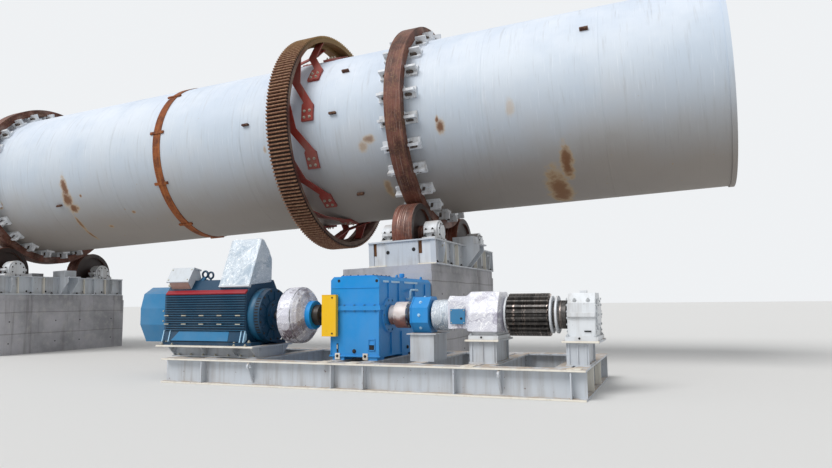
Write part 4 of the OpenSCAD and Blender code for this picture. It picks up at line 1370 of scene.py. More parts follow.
@dataclass
class Skid:
    """The beam frame on the ground and the stands on it.

    Attributes:
        ends: Places of its left and right end.
        sides: Places of its front and back edge.
        beam_h: Height of the beams.
        pads: Places of the plates on the front beam.
        bolt_rows: First and last place, count and front place of each row of bolts.
        back_row: Place of the rows of bolts at the back.
    """

    ends: tuple[float, float] = (-3.25, 4.23)
    sides: tuple[float, float] = (-5.44, -2.40)
    beam_h: float = 0.43
    pads: tuple[float, ...] = (0.045, 0.565, 2.50, 4.06)
    bolt_rows: tuple[tuple[float, float, int, float], ...] = (
        (-3.30, -1.62, 7, -4.94), (2.42, 2.78, 3, -4.82), (3.93, 4.16, 2, -4.82),
    )
    back_row: float = -4.08

    def build(self) -> None:
        """Dresses the frame and the stands, then adds edges, bolts, plates and ribs."""
        dress(Coat.frames, "skid_frame", "motor_stand", "guard_pedestal")
        dress(Coat.frames, "bearing_stand_left", "bearing_stand_right")
        self.edges()
        self.base_bolts()
        self.end_ribs()

    def edge(self, x: tuple[float, float], y: float, out: int, z: tuple[float, float], bevel: float) -> Shape:
        """A strip along a flange's front edge (out is -1) or back edge (out is 1), a little proud of it."""
        y0, y1 = sorted((y + out * 0.006, y - out * 0.012))
        return block((x[0], y0, z[0]), (x[1], y1, z[1]), bevel)

    def edges(self) -> None:
        """Rolled edges of the flanges, as pale cream strips a little proud of them."""
        x = (self.ends[0] - 0.003, self.ends[1] + 0.003)
        (x0, y0, _), (x1, y1, top) = span("motor_stand")
        shapes = []
        for out, side, stand in ((-1, self.sides[0], y0), (1, self.sides[1], y1)):
            for z in (0.0, self.beam_h - 0.028):
                shapes.append(self.edge(x, side, out, (z, z + 0.028), 0.005))
            shapes.append(self.edge((x0 - 0.004, x1 + 0.004), stand, out, (top - 0.030, top + 0.001), 0.006))
        for node in ("bearing_stand_left", "bearing_stand_right"):
            (x0, y0, _), (x1, y1, top) = span(node)
            for y in (y0, y1):
                low, high = (x0 - 0.003, y - 0.006, top - 0.030), (x1 + 0.003, y + 0.006, top + 0.001)
                shapes.append(block(low, high, 0.005))
        piece("skid_edges", shapes, Coat.edges, "base")

    def base_bolts(self) -> None:
        """Bolts of the motor stand and the bearing stands, and plates on the front beam."""
        groups = [
            studs(places(spread(start, end, count), [front, self.back_row], self.beam_h + 0.02), 0.022)
            for start, end, count, front in self.bolt_rows
        ]
        piece("skid_bolts", groups, Coat.zinc, "base")
        y, z = self.sides[0], self.beam_h
        plates = [
            block((x - 0.10, y + 0.03, z - 0.001), (x + 0.10, y + 0.27, z + 0.012), 0.004) for x in self.pads
        ]
        piece("skid_pads", plates, Coat.edges, "base")

    def end_ribs(self) -> None:
        """Two ribs in the beam at each end of the skid."""
        (x0, x1), near = self.ends, self.sides[0]
        shapes = [
            block((start, y - 0.009, 0.030), (start + 0.10, y + 0.009, self.beam_h - 0.030), 0.003)
            for start in (x0, x1 - 0.10) for y in (near + 0.90, near + 1.85)
        ]
        piece("skid_end_ribs", shapes, Coat.edges, "base")


@dataclass
class ShaftUnit:
    """A unit of the skid that is drawn about the shaft line.

    Attributes:
        axis: Place of the shaft line across the skid, and its height.
    """

    axis: tuple[float, float] = (-4.45, 1.18)

    def add(
        self, name: str, shapes: list[Shape], finish: Finish, slot: str | None = None,
        body: str = "base", both: bool = False,
    ) -> None:
        """Makes a piece of shapes that are drawn about the shaft line.

        Args:
            name: The piece's name.
            shapes: The shapes.
            finish: Its finish.
            slot: The record's material slot, or none for packing film; it is not used.
            body: The body that it rides on.
            both: Whether the shapes are drawn on the near side and mirrored to the far side.
        """
        copies = [mirrored(shape, over_x=False) for shape in shapes] if both else shapes
        piece(name, [shape.moved(0.0, *self.axis) for shape in copies], finish, body)


@dataclass
class Motor(ShaftUnit):
    """The motor with its cowl, boxes, fins, feet and wrapped coupling.

    Attributes:
        ends: Places of the motor frame's ends.
        half: Half the frame's width.
        foot: Height of the feet's underside from the shaft line.
        fins: Count of fins on a side.
        fin_z: Heights of the lowest and highest fin from the shaft line.
        shield_r: Radius of the end shield.
        small_box: Places of the small box's ends.
        large_box: Places of the large box's ends.
        disc: Places of both faces of the coupling disc.
        disc_r: Its radius.
    """

    ends: tuple[float, float] = (-3.64, -1.77)
    half: float = 0.52
    foot: float = -0.54
    fins: int = 15
    fin_z: tuple[float, float] = (-0.262, 0.362)
    shield_r: float = 0.49
    small_box: tuple[float, float] = (-3.57, -3.10)
    large_box: tuple[float, float] = (-2.41, -1.78)
    disc: tuple[float, float] = (-1.13, -0.87)
    disc_r: float = 0.50

    def build(self) -> None:
        """Dresses the motor's nodes and adds its small parts."""
        dress(Coat.navy, "motor_body", "motor_end_shield", "motor_lifting_eyes")
        dress(Coat.sky, "motor_fan_cowl")
        dress(Coat.seen_box, "terminal_box_large")
        dress(Coat.pale_box, "terminal_box_small")
        dress(Coat.steel, "motor_coupling")
        self.side_fins()
        self.shoulder_strips()
        self.foot_panels()
        self.foot_bolts()
        self.cowl_parts()
        self.shield_parts()
        self.small_box_parts()
        self.large_box_parts()
        self.coupling()

    def side_fins(self) -> None:
        """Long fins down both sides, with two rows of five pale spacers between them."""
        (x0, x1), y = self.ends, -self.half
        fins = [
            block((x0 + 0.03, y - 0.042, z - 0.006), (x1 - 0.01, y + 0.004, z + 0.006), 0.003)
            for z in spread(*self.fin_z, self.fins)
        ]
        self.add("motor_fins", fins, Coat.fins, "navy_paint", both=True)
        spacers = [
            block((x - 0.055, y - 0.046, z - 0.010), (x + 0.055, y - 0.036, z + 0.010), 0.003)
            for x in spread(x0 + 0.075, x1 - 0.16, 5) for z in (0.003, -0.155)
        ]
        self.add("motor_fin_spacers", spacers, Coat.zinc, "navy_paint", both=True)

    def shoulder_strips(self) -> None:
        """Crimson strips with round corners along both shoulders."""
        (x0, x1), y = self.ends, -self.half
        outline = [
            (y + 0.060, 0.470), (y + 0.036, 0.472), (y - 0.018, 0.428),
            (y - 0.028, 0.408), (y - 0.020, 0.392), (y + 0.020, 0.385),
        ]
        strip = prism(outline, x0 + 0.03, x1 - 0.01, 0.008)
        self.add("motor_strips", [strip], Coat.crimson, "red_oxide", both=True)

    def foot_panels(self) -> None:
        """Sloping foot panels with a paler plate on each, and their gussets."""
        (x0, x1), y = self.ends, -self.half
        low, high = (y - 0.052, self.foot + 0.075), (y - 0.012, -0.285)
        sloping = panel(x0 + 0.02, x1 - 0.02, low, high, (0.0, 0.014, 0.010))
        self.add("motor_foot_panels", [sloping], Coat.navy, "navy_paint", both=True)
        low, high = (low[0] - 0.006, low[1] + 0.006), (high[0] - 0.006, high[1] - 0.004)
        corners = [(x0 + 0.21, *low), (x1 - 0.36, *low), (x1 - 0.36, *high), (x0 + 0.37, *high)]
        pale = slab(corners, (0.0, 0.008, 0.003))
        self.add("motor_foot_plates", [pale], Coat.sky, "sky_paint", both=True)
        toe = self.foot + 0.062
        gusset = [(y + 0.03, -0.27), (y - 0.020, -0.27), (y - 0.078, toe), (y + 0.03, toe)]
        at = (x0 + 0.012, x0 + 0.16, x1 - 0.09, x1 - 0.012)
        ribs = [prism(gusset, x - 0.010, x + 0.010, 0.003) for x in at]
        self.add("motor_foot_ribs", ribs, Coat.pale_edge, "sky_paint", both=True)

    def foot_bolts(self) -> None:
        """Holding-down bolts on the feet of both sides, and in front of the near feet."""
        (x0, x1), y = self.ends, -self.half
        on_feet = places([x0 + 0.08, x0 + 0.12, x1 + 0.08, x1 - 0.23], y - 0.018, self.foot + 0.060)
        in_front = places([x0 + 0.06, x0 + 0.30, x1 - 0.17, x1 + 0.07], y - 0.12, self.foot)
        shapes = [mirrored(studs(on_feet, 0.026), over_x=False), studs(in_front, 0.024)]
        self.add("motor_foot_bolts", shapes, Coat.zinc, "machined_steel")

    def cowl_parts(self) -> None:
        """The cowl's air grille, whose slots are near-black strips painted as shade, its oval hoop and the
        screws that hold the cowl.
        """
        low, high = span("motor_fan_cowl")
        x = low[0]
        slots = [
            block((x - 0.006, -0.36, z), (x + 0.004, 0.36, z + 0.022), 0.004) for z in spread(-0.36, 0.40, 13)
        ]
        self.add("cowl_slots", slots, Coat.dark, "sky_paint")
        bars = [
            block((x - 0.010, y - 0.010, -0.40), (x + 0.003, y + 0.010, 0.46), 0.003)
            for y in (-0.24, 0.0, 0.24)
        ]
        hoop = tube(circle(40, 1.0) * (1.0, 0.43, 0.46) + (x + 0.003, 0.0, 0.03), 0.010, 8, True)
        self.add("cowl_grille", [*bars, hoop], Coat.sky, "sky_paint")
        screws = bolts(places(high[0] - 0.05, -0.502, [-0.10, 0.09]), NEAR, 0.013)
        self.add("cowl_screws", [screws], Coat.zinc, "machined_steel", both=True)

    def shield_parts(self) -> None:
        """A bevelled rim and slots round the end shield, ribs and bolts on its face and bearing cap."""
        x, r = self.ends[1], self.shield_r
        profile = [
            (x - 0.004, r - 0.03), (x - 0.004, r + 0.006), (x + 0.030, r + 0.016),
            (x + 0.085, r + 0.016), (x + 0.125, r + 0.003), (x + 0.125, r - 0.03),
        ]
        self.add("shield_rim", [turned(profile, 72, ring=True)], Coat.fins, "navy_paint")
        profile = [(x + 0.275, 0.10), (x + 0.275, 0.19), (x + 0.296, 0.185), (x + 0.300, 0.10)]
        cap = turned(profile, 48, ring=True)
        rib = block((x + 0.240, -0.010, 0.28), (x + 0.262, 0.010, 0.44), 0.003)
        ribs = swung(rib, np.linspace(0, FULL_TURN, 12, endpoint=False))
        self.add("shield_ribs", [cap, ribs], Coat.navy, "navy_paint")
        # The slots round the shield are near-black strips painted as shade.
        slot = block((x + 0.145, -0.012, r - 0.002), (x + 0.220, 0.012, r + 0.003), 0.001)
        angles = np.radians(spread(52, 128, 13))
        self.add("shield_slots", [swung(slot, angles), swung(slot, -angles)], Coat.dark, "navy_paint")
        face = bolts(circle(12, 0.455, 1 / 24) + (x + 0.2464, 0, 0), RIGHT, 0.017)
        inner = bolts(circle(6, 0.225) + (x + 0.28, 0, 0), RIGHT, 0.014)
        self.add("shield_bolts", [face, inner], Coat.oily, "machined_steel")

    def small_box_parts(self) -> None:
        """The small box's lid with its overhang, a brownish plate of painted shade under it, a gland and the
        bracket.
        """
        x0, x1 = self.small_box
        out = np.array([0.0, -0.854, 0.521])
        low, high = np.array([-0.535, 0.622]), np.array([-0.368, 0.896])
        lid = panel(x0 - 0.03, x1 + 0.03, low, high, out * 0.030)
        top = panel(x0 - 0.03, x1 + 0.03, (-0.385, 0.880), (-0.195, 0.846), (0.0, 0.006, 0.028))
        self.add("small_box_lid", [lid, top], Coat.pale_box, "white_paint")
        # The plate under the lid is painted shade.
        under = panel(x0 + 0.015, x1 - 0.015, (-0.516, 0.634), (-0.408, 0.486), (0.0, -0.008, -0.006))
        self.add("small_box_front", [under], Coat.darkened, "white_paint")
        y, z = -0.44, 0.575
        gland = tube([(x0 - 0.055, y, z), (x0 - 0.02, y, z), (x0 + 0.01, y, z)], 0.026, 14)
        nut = prism(polygon(6, 0.036), x0 - 0.018, x0 + 0.004, 0.003).moved(0.0, y, z)
        corners = [
            (x, *(low + (high - low) * share)) for x in (x0 + 0.01, x1 - 0.01) for share in (0.15, 0.85)
        ]
        screws = bolts(np.array(corners) + out * 0.030, out, 0.012)
        self.add("small_box_fittings", [gland, nut, screws], Coat.zinc, "machined_steel")
        lean = panel(x1 + 0.03, x1 + 0.11, (-0.40, 0.50), (-0.17, 0.73), (0.0, 0.020, -0.020))
        self.add("small_box_bracket", [lean], Coat.sky, "sky_paint")

    def large_box_parts(self) -> None:
        """The large box's lower lip and side frames, and the film that is pulled over it."""
        x0, x1 = self.large_box
        lip = panel(x0 - 0.02, x1 + 0.02, (-0.485, 0.530), (-0.455, 0.575), (0.0, 0.06, -0.02))
        frames = [
            slab([(x, -0.40, 0.62), (x, 0.20, 0.66), (x, 0.14, 1.16), (x, -0.14, 1.30)], (0.012, 0.0, 0.0))
            for x in (x0 - 0.004, x1 - 0.008)
        ]
        self.add("large_box_plates", [lip, *frames], Coat.pale_box, "white_paint")
        outline = np.array([
            (-0.400, 0.560), (0.240, 0.620), (0.250, 1.060), (0.150, 1.240),
            (-0.020, 1.420), (-0.106, 1.420), (-0.465, 0.560),
        ])
        middle = outline.mean(0)
        shares = [
            (x0 - 0.030, 0.55), (x0 - 0.022, 0.98), (x0 + 0.02, 1.03), ((x0 + x1) / 2, 1.01),
            (x1 - 0.02, 1.03), (x1 + 0.022, 0.98), (x1 + 0.030, 0.55),
        ]
        keys = [(x, (outline - middle) * share + middle) for x, share in shares]
        self.add("large_box_film", [wrapped(keys, 0.014, 11, 180, 90)], Coat.box_film)

    def coupling(self) -> None:
        """Film wound round the coupling disc, the blue collars on both sides of it and the neck."""
        (a, b), r = self.disc, self.disc_r
        radii = [
            (a - 0.115, 0.215), (a - 0.095, 0.30), (a - 0.055, 0.42), (a - 0.010, r * 0.990),
            (a + 0.05, r + 0.010), (b - 0.05, r + 0.010), (b + 0.010, r * 0.985),
            (b + 0.070, 0.43), (b + 0.115, 0.33), (b + 0.145, 0.262),
        ]
        film = wrapped([(x, polygon(24, radius)) for x, radius in radii], 0.013, 5, 260, 120)
        self.add("coupling_film", [film], Coat.round_film, body="motor_line")
        outgoing = collar(b + 0.10, b + 0.244, 0.12, 0.255, 0.006)
        profile = [
            (a - 0.10, 0.08), (a - 0.10, 0.205), (a - 0.09, 0.212), (a + 0.01, 0.212), (a + 0.01, 0.08),
        ]
        hub = turned(profile, 64, ring=True)
        self.add("coupling_collars", [outgoing, hub], Coat.blue, "blue_paint", "motor_line")
        neck = collar(b + 0.236, b + 0.371, 0.075, 0.185, 0.005)
        self.add("coupling_neck", [neck], Coat.oily, "machined_steel", "motor_line")


@dataclass
class Gearbox(ShaftUnit):
    """The gearbox with its guard.

    Attributes:
        low: Its lowest corner.
        high: Its highest corner.
        joint: Height of the joint between case and cover.
        lip: How far the joint's flange stands out.
        brackets: Distances of the foot brackets from its left side.
        ribs: Distances of the side ribs from its front.
    """

    low: tuple[float, float, float] = (-0.105, -4.85, 0.48)
    high: tuple[float, float, float] = (0.815, -2.40, 1.838)
    joint: float = 1.305
    lip: float = 0.030
    brackets: tuple[float, float] = (0.095, 0.620)
    ribs: tuple[float, ...] = (0.36, 0.80, 1.55, 2.10)

    def build(self) -> None:
        """Dresses the gearbox's nodes and adds its small parts."""
        dress(Coat.blue, "gearbox_case", "gearbox_cover")
        dress(Coat.yellow, "input_guard")
        self.flange_bolts()
        self.front_holes()
        self.front_frame()
        self.foot_brackets()
        self.top_parts()
        self.side_parts()
        self.guard_screws()

    def flange_bolts(self) -> None:
        """Bolts along the joint's flange at the front and both sides, with their nuts below."""
        (x0, y0, _), (x1, y1, _) = self.low, self.high
        out = self.lip / 2
        at = np.vstack([
            places(spread(x0 + 0.08, x1 - 0.08, 5), y0 - out, self.joint),
            places(x0 - out, spread(y0 + 0.95, y1 - 0.12, 7), self.joint),
            places(x1 + out, spread(y0 + 0.75, y1 - 0.12, 8), self.joint),
        ])
        heads = bolts(at + (0, 0, 0.04), UP, 0.017)
        nuts = bolts(at - (0, 0, 0.04), (0, 0, -1), 0.016, stud=True)
        piece("gearbox_flange_bolts", [heads, nuts], Coat.sky, "base")

    def front_holes(self) -> None:
        """Near-black discs and strips in the front, painted as the shade in its lifting holes and slots."""
        (x0, y0, z0), (x1, _, z1) = self.low, self.high
        spots = [(x0 + 0.157, y0, z1 - 0.069), (x1 - 0.045, y0, z1 - 0.080)]
        marks = [
            disc(0.0, 0.003, 0.026, 0.001, 24).scattered(spots, NEAR),
            block((x0 + 0.115, y0 - 0.003, z0 + 0.075), (x0 + 0.150, y0 + 0.003, z0 + 0.225), 0.001),
            block((x1 - 0.185, y0 - 0.004, z0 + 0.125), (x1 - 0.095, y0 + 0.003, z0 + 0.205), 0.001),
        ]
        piece("gearbox_front_holes", marks, Coat.dark, "base")

    def strip(
        self, x: tuple[float, float], out: float, z: tuple[float, float], bevel: float = 0.003
    ) -> Shape:
        """A strip on the front, by its reach along X, how far it stands out and its reach along Z."""
        y = self.low[1]
        return block((x[0], y - out, z[0]), (x[1], y + 0.002, z[1]), bevel)

    def front_frame(self) -> None:
        """The framed recess, the skirt, a band under the top and two upright strips at the front."""
        (x0, _, z0), (x1, _, z1) = self.low, self.high
        left, right = x1 - 0.205, x1 - 0.075
        bars = [self.strip((left, right), 0.014, (z0 + z, z0 + z + 0.016)) for z in (0.108, 0.206, 0.29)]
        uprights = [self.strip((x, x + 0.016), 0.014, (z0 + 0.108, z0 + 0.300)) for x in (left, left + 0.114)]
        skirt = self.strip((x0 - 0.020, x1 + 0.020), 0.022, (z0 + 0.002, z0 + 0.030), 0.005)
        band = self.strip((x0 + 0.012, x1 - 0.012), 0.010, (z1 - 0.20, z1 - 0.185))
        corners = [
            self.strip((x - 0.012, x + 0.012), 0.012, (z0 + 0.03, self.joint - 0.04), 0.004)
            for x in (x0 + 0.012, x1 - 0.012)
        ]
        shapes = [*bars, *uprights, skirt, band, *corners]
        piece("gearbox_front_frame", shapes, Coat.blue, "base")

    def foot_brackets(self) -> None:
        """Foot brackets with their bolts, the oil gauge and two drain plugs."""
        (x0, y0, z0), x1 = self.low, self.high[0]
        gauge = block((x0 + 0.120, y0 - 0.005, z0 + 0.135), (x0 + 0.134, y0 - 0.001, z0 + 0.205), 0.001)
        at = [x0 + bracket for bracket in self.brackets]
        feet = [block((x, y0 - 0.030, z0 - 0.042), (x + 0.095, y0 - 0.002, z0 + 0.065), 0.006) for x in at]
        piece("gearbox_brackets", [gauge, *feet], Coat.edges, "base")
        bolted = bolts([(x + 0.047, y0 - 0.030, z0 + 0.018) for x in at], NEAR, 0.018)
        spots = [(x0 + 0.45, y0 - 0.002, z0 + 0.10), (x1 + 0.002, y0 + 1.2, z0 + 0.10)]
        plugs = bolts(spots, (NEAR, RIGHT), 0.026)
        piece("gearbox_front_bolts", [bolted, plugs], Coat.oily, "base")

    def top_parts(self) -> None:
        """Inspection covers with their bolts, a breather and lifting lugs on the top."""
        (x0, y0, _), (x1, y1, z1) = self.low, self.high
        covers = [
            block((x0 + 0.14, y0 + 0.10, z1 - 0.002), (x1 - 0.14, y0 + 0.82, z1 + 0.022), 0.006),
            block((x0 + 0.20, y0 + 1.20, z1 - 0.002), (x1 - 0.20, y0 + 1.75, z1 + 0.018), 0.006),
        ]
        outline = [(0.0, 0.0), (0.10, 0.0), (0.092, 0.035), (0.07, 0.055), (0.03, 0.055), (0.008, 0.035)]
        lug = prism(outline, -0.012, 0.012, 0.003)
        lugs = [lug.moved(x, y, z1 - 0.003) for x in (x0 + 0.09, x1 - 0.09) for y in (y0 + 0.90, y1 - 0.35)]
        profile = [
            (0, 0), (0, 0.030), (0.05, 0.030), (0.05, 0.052), (0.11, 0.052), (0.125, 0.040), (0.125, 0),
        ]
        breather = turned(profile, 24, Axis.Z).moved(x0 + 0.46, y0 + 2.05, z1)
        piece("gearbox_top_parts", [*covers, *lugs, breather], Coat.blue, "base")
        rows = [
            places(spread(x0 + 0.17, x1 - 0.17, 5), [y0 + 0.13, y0 + 0.79], z1 + 0.022),
            places([x0 + 0.17, x1 - 0.17], spread(y0 + 0.27, y0 + 0.65, 3), z1 + 0.022),
            places(spread(x0 + 0.23, x1 - 0.23, 3), [y0 + 1.23, y0 + 1.72], z1 + 0.018),
        ]
        piece("gearbox_top_bolts", [bolts(np.vstack(rows), UP, 0.014)], Coat.oily, "base")

    def side_parts(self) -> None:
        """Bearing covers round every shaft and ribs on both sides, then the pipe and pale strips."""
        (y, z), joint = self.axis, self.joint
        (x0, y0, z0), (x1, _, z1) = self.low, self.high
        shapes = [collar(0.0, 0.026, 0.178, 0.300, 0.008, 56).moved(x1, y, z)]
        screws = [bolts(circle(10, 0.262) + (x1 + 0.026, y, z), RIGHT, 0.016)]
        for cover_y, cover_z, radius in ((y + 0.82, z + 0.02, 0.225), (y + 1.42, z, 0.175)):
            for x, out in ((x1, RIGHT), (x0, LEFT)):
                shapes.append(disc(0.0, 0.034, radius, 0.008, 48).scattered((x, cover_y, cover_z), out))
                ring = circle(8, radius - 0.04) + (x + out[0] * 0.034, cover_y, cover_z)
                screws.append(bolts(ring, out, 0.014))
        for at in (y0 + rib for rib in self.ribs):
            for a, b in ((x1 - 0.002, x1 + 0.022), (x0 - 0.022, x0 + 0.002)):
                shapes.append(block((a, at - 0.010, joint + 0.04), (b, at + 0.010, z1 - 0.10), 0.003))
                shapes.append(block((a, at + 0.10, z0 + 0.02), (b, at + 0.12, joint - 0.42), 0.003))
        path = [
            (-0.01, 0.76, 0.27), (0.055, 0.76, 0.27), (0.075, 0.77, 0.30), (0.075, 0.78, 0.40),
            (0.075, 0.83, 0.435), (0.075, 1.00, 0.440), (0.075, 1.14, 0.436),
            (0.06, 1.18, 0.43), (-0.01, 1.20, 0.43),
        ]
        pipe = tube(np.array(path) + (x1, y, z), 0.020, 12)
        pale = [
            block((x1 - 0.002, y0 + a, z1 - 0.105), (x1 + 0.016, y0 + b, z1 - 0.070), 0.004)
            for a, b in ((0.15, 0.36), (0.49, 0.84), (1.07, 1.70))
        ]
        piece("gearbox_side_parts", shapes, Coat.blue, "base")
        piece("gearbox_pale_parts", [pipe, *pale], Coat.pale_edge, "base")
        piece("gearbox_side_bolts", screws, Coat.sky, "base")

    def guard_screws(self) -> None:
        """Screws and the folded edges of the yellow guard."""
        (x0, y0, z0), (x1, _, z1) = span("input_guard")
        front = bolts(places(x0 + 0.20, y0, [z0 + 0.05, z1 - 0.05]), NEAR, 0.012)
        side = bolts(places(x0, [y0 + 0.12, y0 + 0.62], [z0 + 0.06, z1 - 0.06]), LEFT, 0.012)
        piece("guard_screws", [front, side], Coat.oily, "base")
        folds = [
            block((x0 - 0.003, y0 - 0.004, z), (x1 + 0.001, y0 + 0.010, z + 0.006), 0.001)
            for z in (z0 + 0.002, z1 - 0.008)
        ]
        piece("guard_folds", folds, Coat.yellow, "base")


@dataclass
class PinionLine(ShaftUnit):
    """The slow shaft line: guards, wrapped sleeve, bearings and the pinion's rims.

    Attributes:
        octagon: Places of the octagonal guard's ends.
        octagon_half: Half its width over its flats.
        flange: Places of the outgoing flange's bolt heads and nuts.
        sleeve: Places of the wrapped sleeve's ends.
        sleeve_r: Its radius.
        cover: Places of the shaft guard's ends.
        blocks: Places of the left face of each pinion bearing.
        block_l: Length of a bearing body.
        block_half: Half its width.
        seat: Height of the bearing seats from the shaft line.
        rims: Places of the pinion's discs.
        rim_r: Their radius.
    """

    octagon: tuple[float, float] = (1.33, 1.638)
    octagon_half: float = 0.296
    flange: tuple[float, float] = (0.985, 1.205)
    sleeve: tuple[float, float] = (1.682, 1.990)
    sleeve_r: float = 0.243
    cover: tuple[float, float] = (2.01, 2.405)
    blocks: tuple[float, float] = (2.405, 3.91)
    block_l: float = 0.40
    block_half: float = 0.39
    seat: float = -0.38
    rims: tuple[float, ...] = (2.905, 3.615, 3.700)
    rim_r: float = 0.29

    def build(self) -> None:
        """Dresses the line's nodes and adds its small parts."""
        dress(Coat.blue, "octagon_guard")
        dress(Coat.sky, "shaft_guard")
        dress(Coat.neck, "output_coupling")
        dress(Coat.housings, "pinion_bearing_left", "pinion_bearing_right")
        dress(Coat.pinion, "pinion")
        dress(Coat.steel, "pinion_shaft")
        self.octagon_parts()
        self.flange_parts()
        self.sleeve_film()
        self.cover_plate()
        self.bearing_parts()
        self.bearing_film()
        self.pinion_rims()

    def octagon_parts(self) -> None:
        """End flanges and one bolt in the middle of each flat of the octagonal guard but the lowest."""
        (a, b), half = self.octagon, self.octagon_half
        over_corner = 1 / math.cos(math.pi / 8)
        inner, outer = (polygon(8, reach * over_corner, 1 / 16) for reach in (half - 0.03, half + 0.010))
        section = ((0.0, inner), (0.0, outer), (0.018, outer), (0.018, inner))
        flanges = []
        for x in (a - 0.004, b - 0.014):
            rings = [np.column_stack([np.full(8, x + dx), line]) for dx, line in section]
            flanges.append(grid(np.stack(rings), True, True))
        self.add("octagon_flanges", flanges, Coat.blue, "blue_paint")
        out = circle(8, 1.0)
        out = out[out[:, 2] > -0.9]
        heads = bolts(out * half + ((a + b) / 2, 0, 0), out, 0.020)
        self.add("octagon_bolts", [heads], Coat.pale_edge, "machined_steel")

    def flange_parts(self) -> None:
        """Bolts through the outgoing flange, with their nuts."""
        heads = bolts(circle(10, 0.196) + (self.flange[0], 0, 0), LEFT, 0.014)
        nuts = bolts(circle(10, 0.196) + (self.flange[1], 0, 0), RIGHT, 0.014)
        self.add("outgoing_flange_bolts", [heads, nuts], Coat.zinc, "machined_steel", "pinion_line")

    def sleeve_film(self) -> None:
        """Film in many tight turns round the coupling sleeve: rings of a wavy radius."""
        (a, b), r = self.sleeve, self.sleeve_r
        rows, around = 60, 120
        x = np.linspace(a, b, rows)[:, None]
        turn = np.linspace(0, FULL_TURN, around, endpoint=False)[None]
        wave = 0.005 * np.sin((x - a) * 150 + 2 * np.sin(turn)) + 0.010 * creases(x * 2.0, turn * r, 3)
        ends = np.clip(np.minimum(x - a, b - x) / 0.02, 0, 1) ** 0.5
        radius = np.maximum(r + 0.004 + 0.008 * ends + wave * ends, r + 0.001)
        along = np.broadcast_to(x, radius.shape)
        points = np.stack([along, radius * np.cos(turn), radius * np.sin(turn)], -1)
        inner = points[[-1, 0]] * [1, (r - 0.01) / r, (r - 0.01) / r]
        film = grid(np.concatenate([points, inner]), True, True)
        self.add("sleeve_film", [film], Coat.box_film, body="pinion_line")

    def cover_plate(self) -> None:
        """The plate on the near side of the shaft guard, with its hole and corner screws."""
        y = -0.350
        x0, x1 = self.cover[0] + 0.040, self.cover[0] + 0.290
        plate = block((x0, y - 0.010, -0.142), (x1, y + 0.002, 0.098), 0.003)
        self.add("shaft_guard_plate", [plate], Coat.sky, "sky_paint")
        # The hole is a near-black disc painted as shade.
        hole = disc(0.0, 0.002, 0.020, 0.0005, 24).scattered((x0 + 0.187, y - 0.010, -0.054), NEAR)
        self.add("shaft_guard_hole", [hole], Coat.dark, "sky_paint")
        screws = bolts(places([x0 + 0.02, x1 - 0.02], y - 0.010, [-0.120, 0.076]), NEAR, 0.008)
        self.add("shaft_guard_screws", [screws], Coat.zinc, "machined_steel")

    def bearing_parts(self) -> None:
        """Joint flanges, end covers, eyes and small plates of both pinion bearings, and all their bolts."""
        half, seat = self.block_half, self.seat
        end = self.blocks[1] + self.block_l
        parts = [disc(0.0, 0.030, 0.235, 0.008, 56).moved(end, 0.0, 0.0)]
        screws = [bolts(circle(8, 0.205) + (end + 0.030, 0, 0), RIGHT, 0.016)]
        darks = []
        ring = collar(0.0, 0.020, 0.155, 0.250, 0.006, 56)
        for x, inward in zip(self.blocks, (RIGHT, LEFT)):
            x1 = x + self.block_l
            mid = (x + x1) / 2
            face = x1 if inward is RIGHT else x
            parts.append(ring.scattered((face, 0.0, 0.0), inward))
            screws.append(bolts(circle(8, 0.222) + (face + inward[0] * 0.020, 0, 0), inward, 0.013))
            parts.append(block((mid - 0.055, -0.035, 0.328), (mid + 0.055, 0.035, 0.372), 0.006))
            for s in (-1, 1):
                y = s * (half - 0.035)
                parts.append(block((x - 0.006, y - 0.035, -0.030), (x1 + 0.006, y + 0.030, 0.034), 0.006))
                shoulder = places([x + 0.10, x1 - 0.10], s * (half - 0.085), 0.218)
                screws.append(bolts(shoulder, (0.0, s * 0.55, 0.83), 0.024, stud=True))
                self.post(parts, screws, x, s * (half - 0.075), LEFT)
                self.post(parts, screws, x1, s * (half - 0.075), RIGHT)
            corners = places([x - 0.005, x1 + 0.005], [-half + 0.005, half - 0.005], seat + 0.062)
            screws.append(studs(corners, 0.024))
            # The hole and the dark strip beside it are near-black marks painted as shade.
            hole = disc(0.0, 0.003, 0.017, 0.0005, 20)
            darks.append(hole.scattered((x + 0.17, -half - 0.020, seat + 0.035), NEAR))
            low, high = (x + 0.24, -half + 0.020, seat + 0.13), (x + 0.34, -half + 0.030, seat + 0.15)
            darks.append(block(low, high, 0.002))
        self.add("pinion_bearing_parts", parts, Coat.housings, "white_paint")
        self.add("pinion_bearing_bolts", screws, Coat.pale_bolt, "machined_steel")
        self.add("pinion_bearing_holes", darks, Coat.dark, "white_paint")

    def post(
        self, parts: list[Shape], screws: list[Shape], x: float, y: float, out: tuple[float, float, float]
    ) -> None:
        """Adds an upright plate on a face of a bearing, with its column of bolts.

        Args:
            parts: Where the plate goes.
            screws: Where the bolts go.
            x: Place of the face.
            y: Place of the plate across it.
            out: The way that the face looks.
        """
        x0, x1 = sorted((x + out[0] * 0.010, x - out[0] * 0.004))
        parts.append(block((x0, y - 0.018, self.seat + 0.07), (x1, y + 0.018, 0.17), 0.004))
        column = places(x + out[0] * 0.010, y, spread(self.seat + 0.14, 0.24, 6))
        screws.append(bolts(column, out, 0.016))

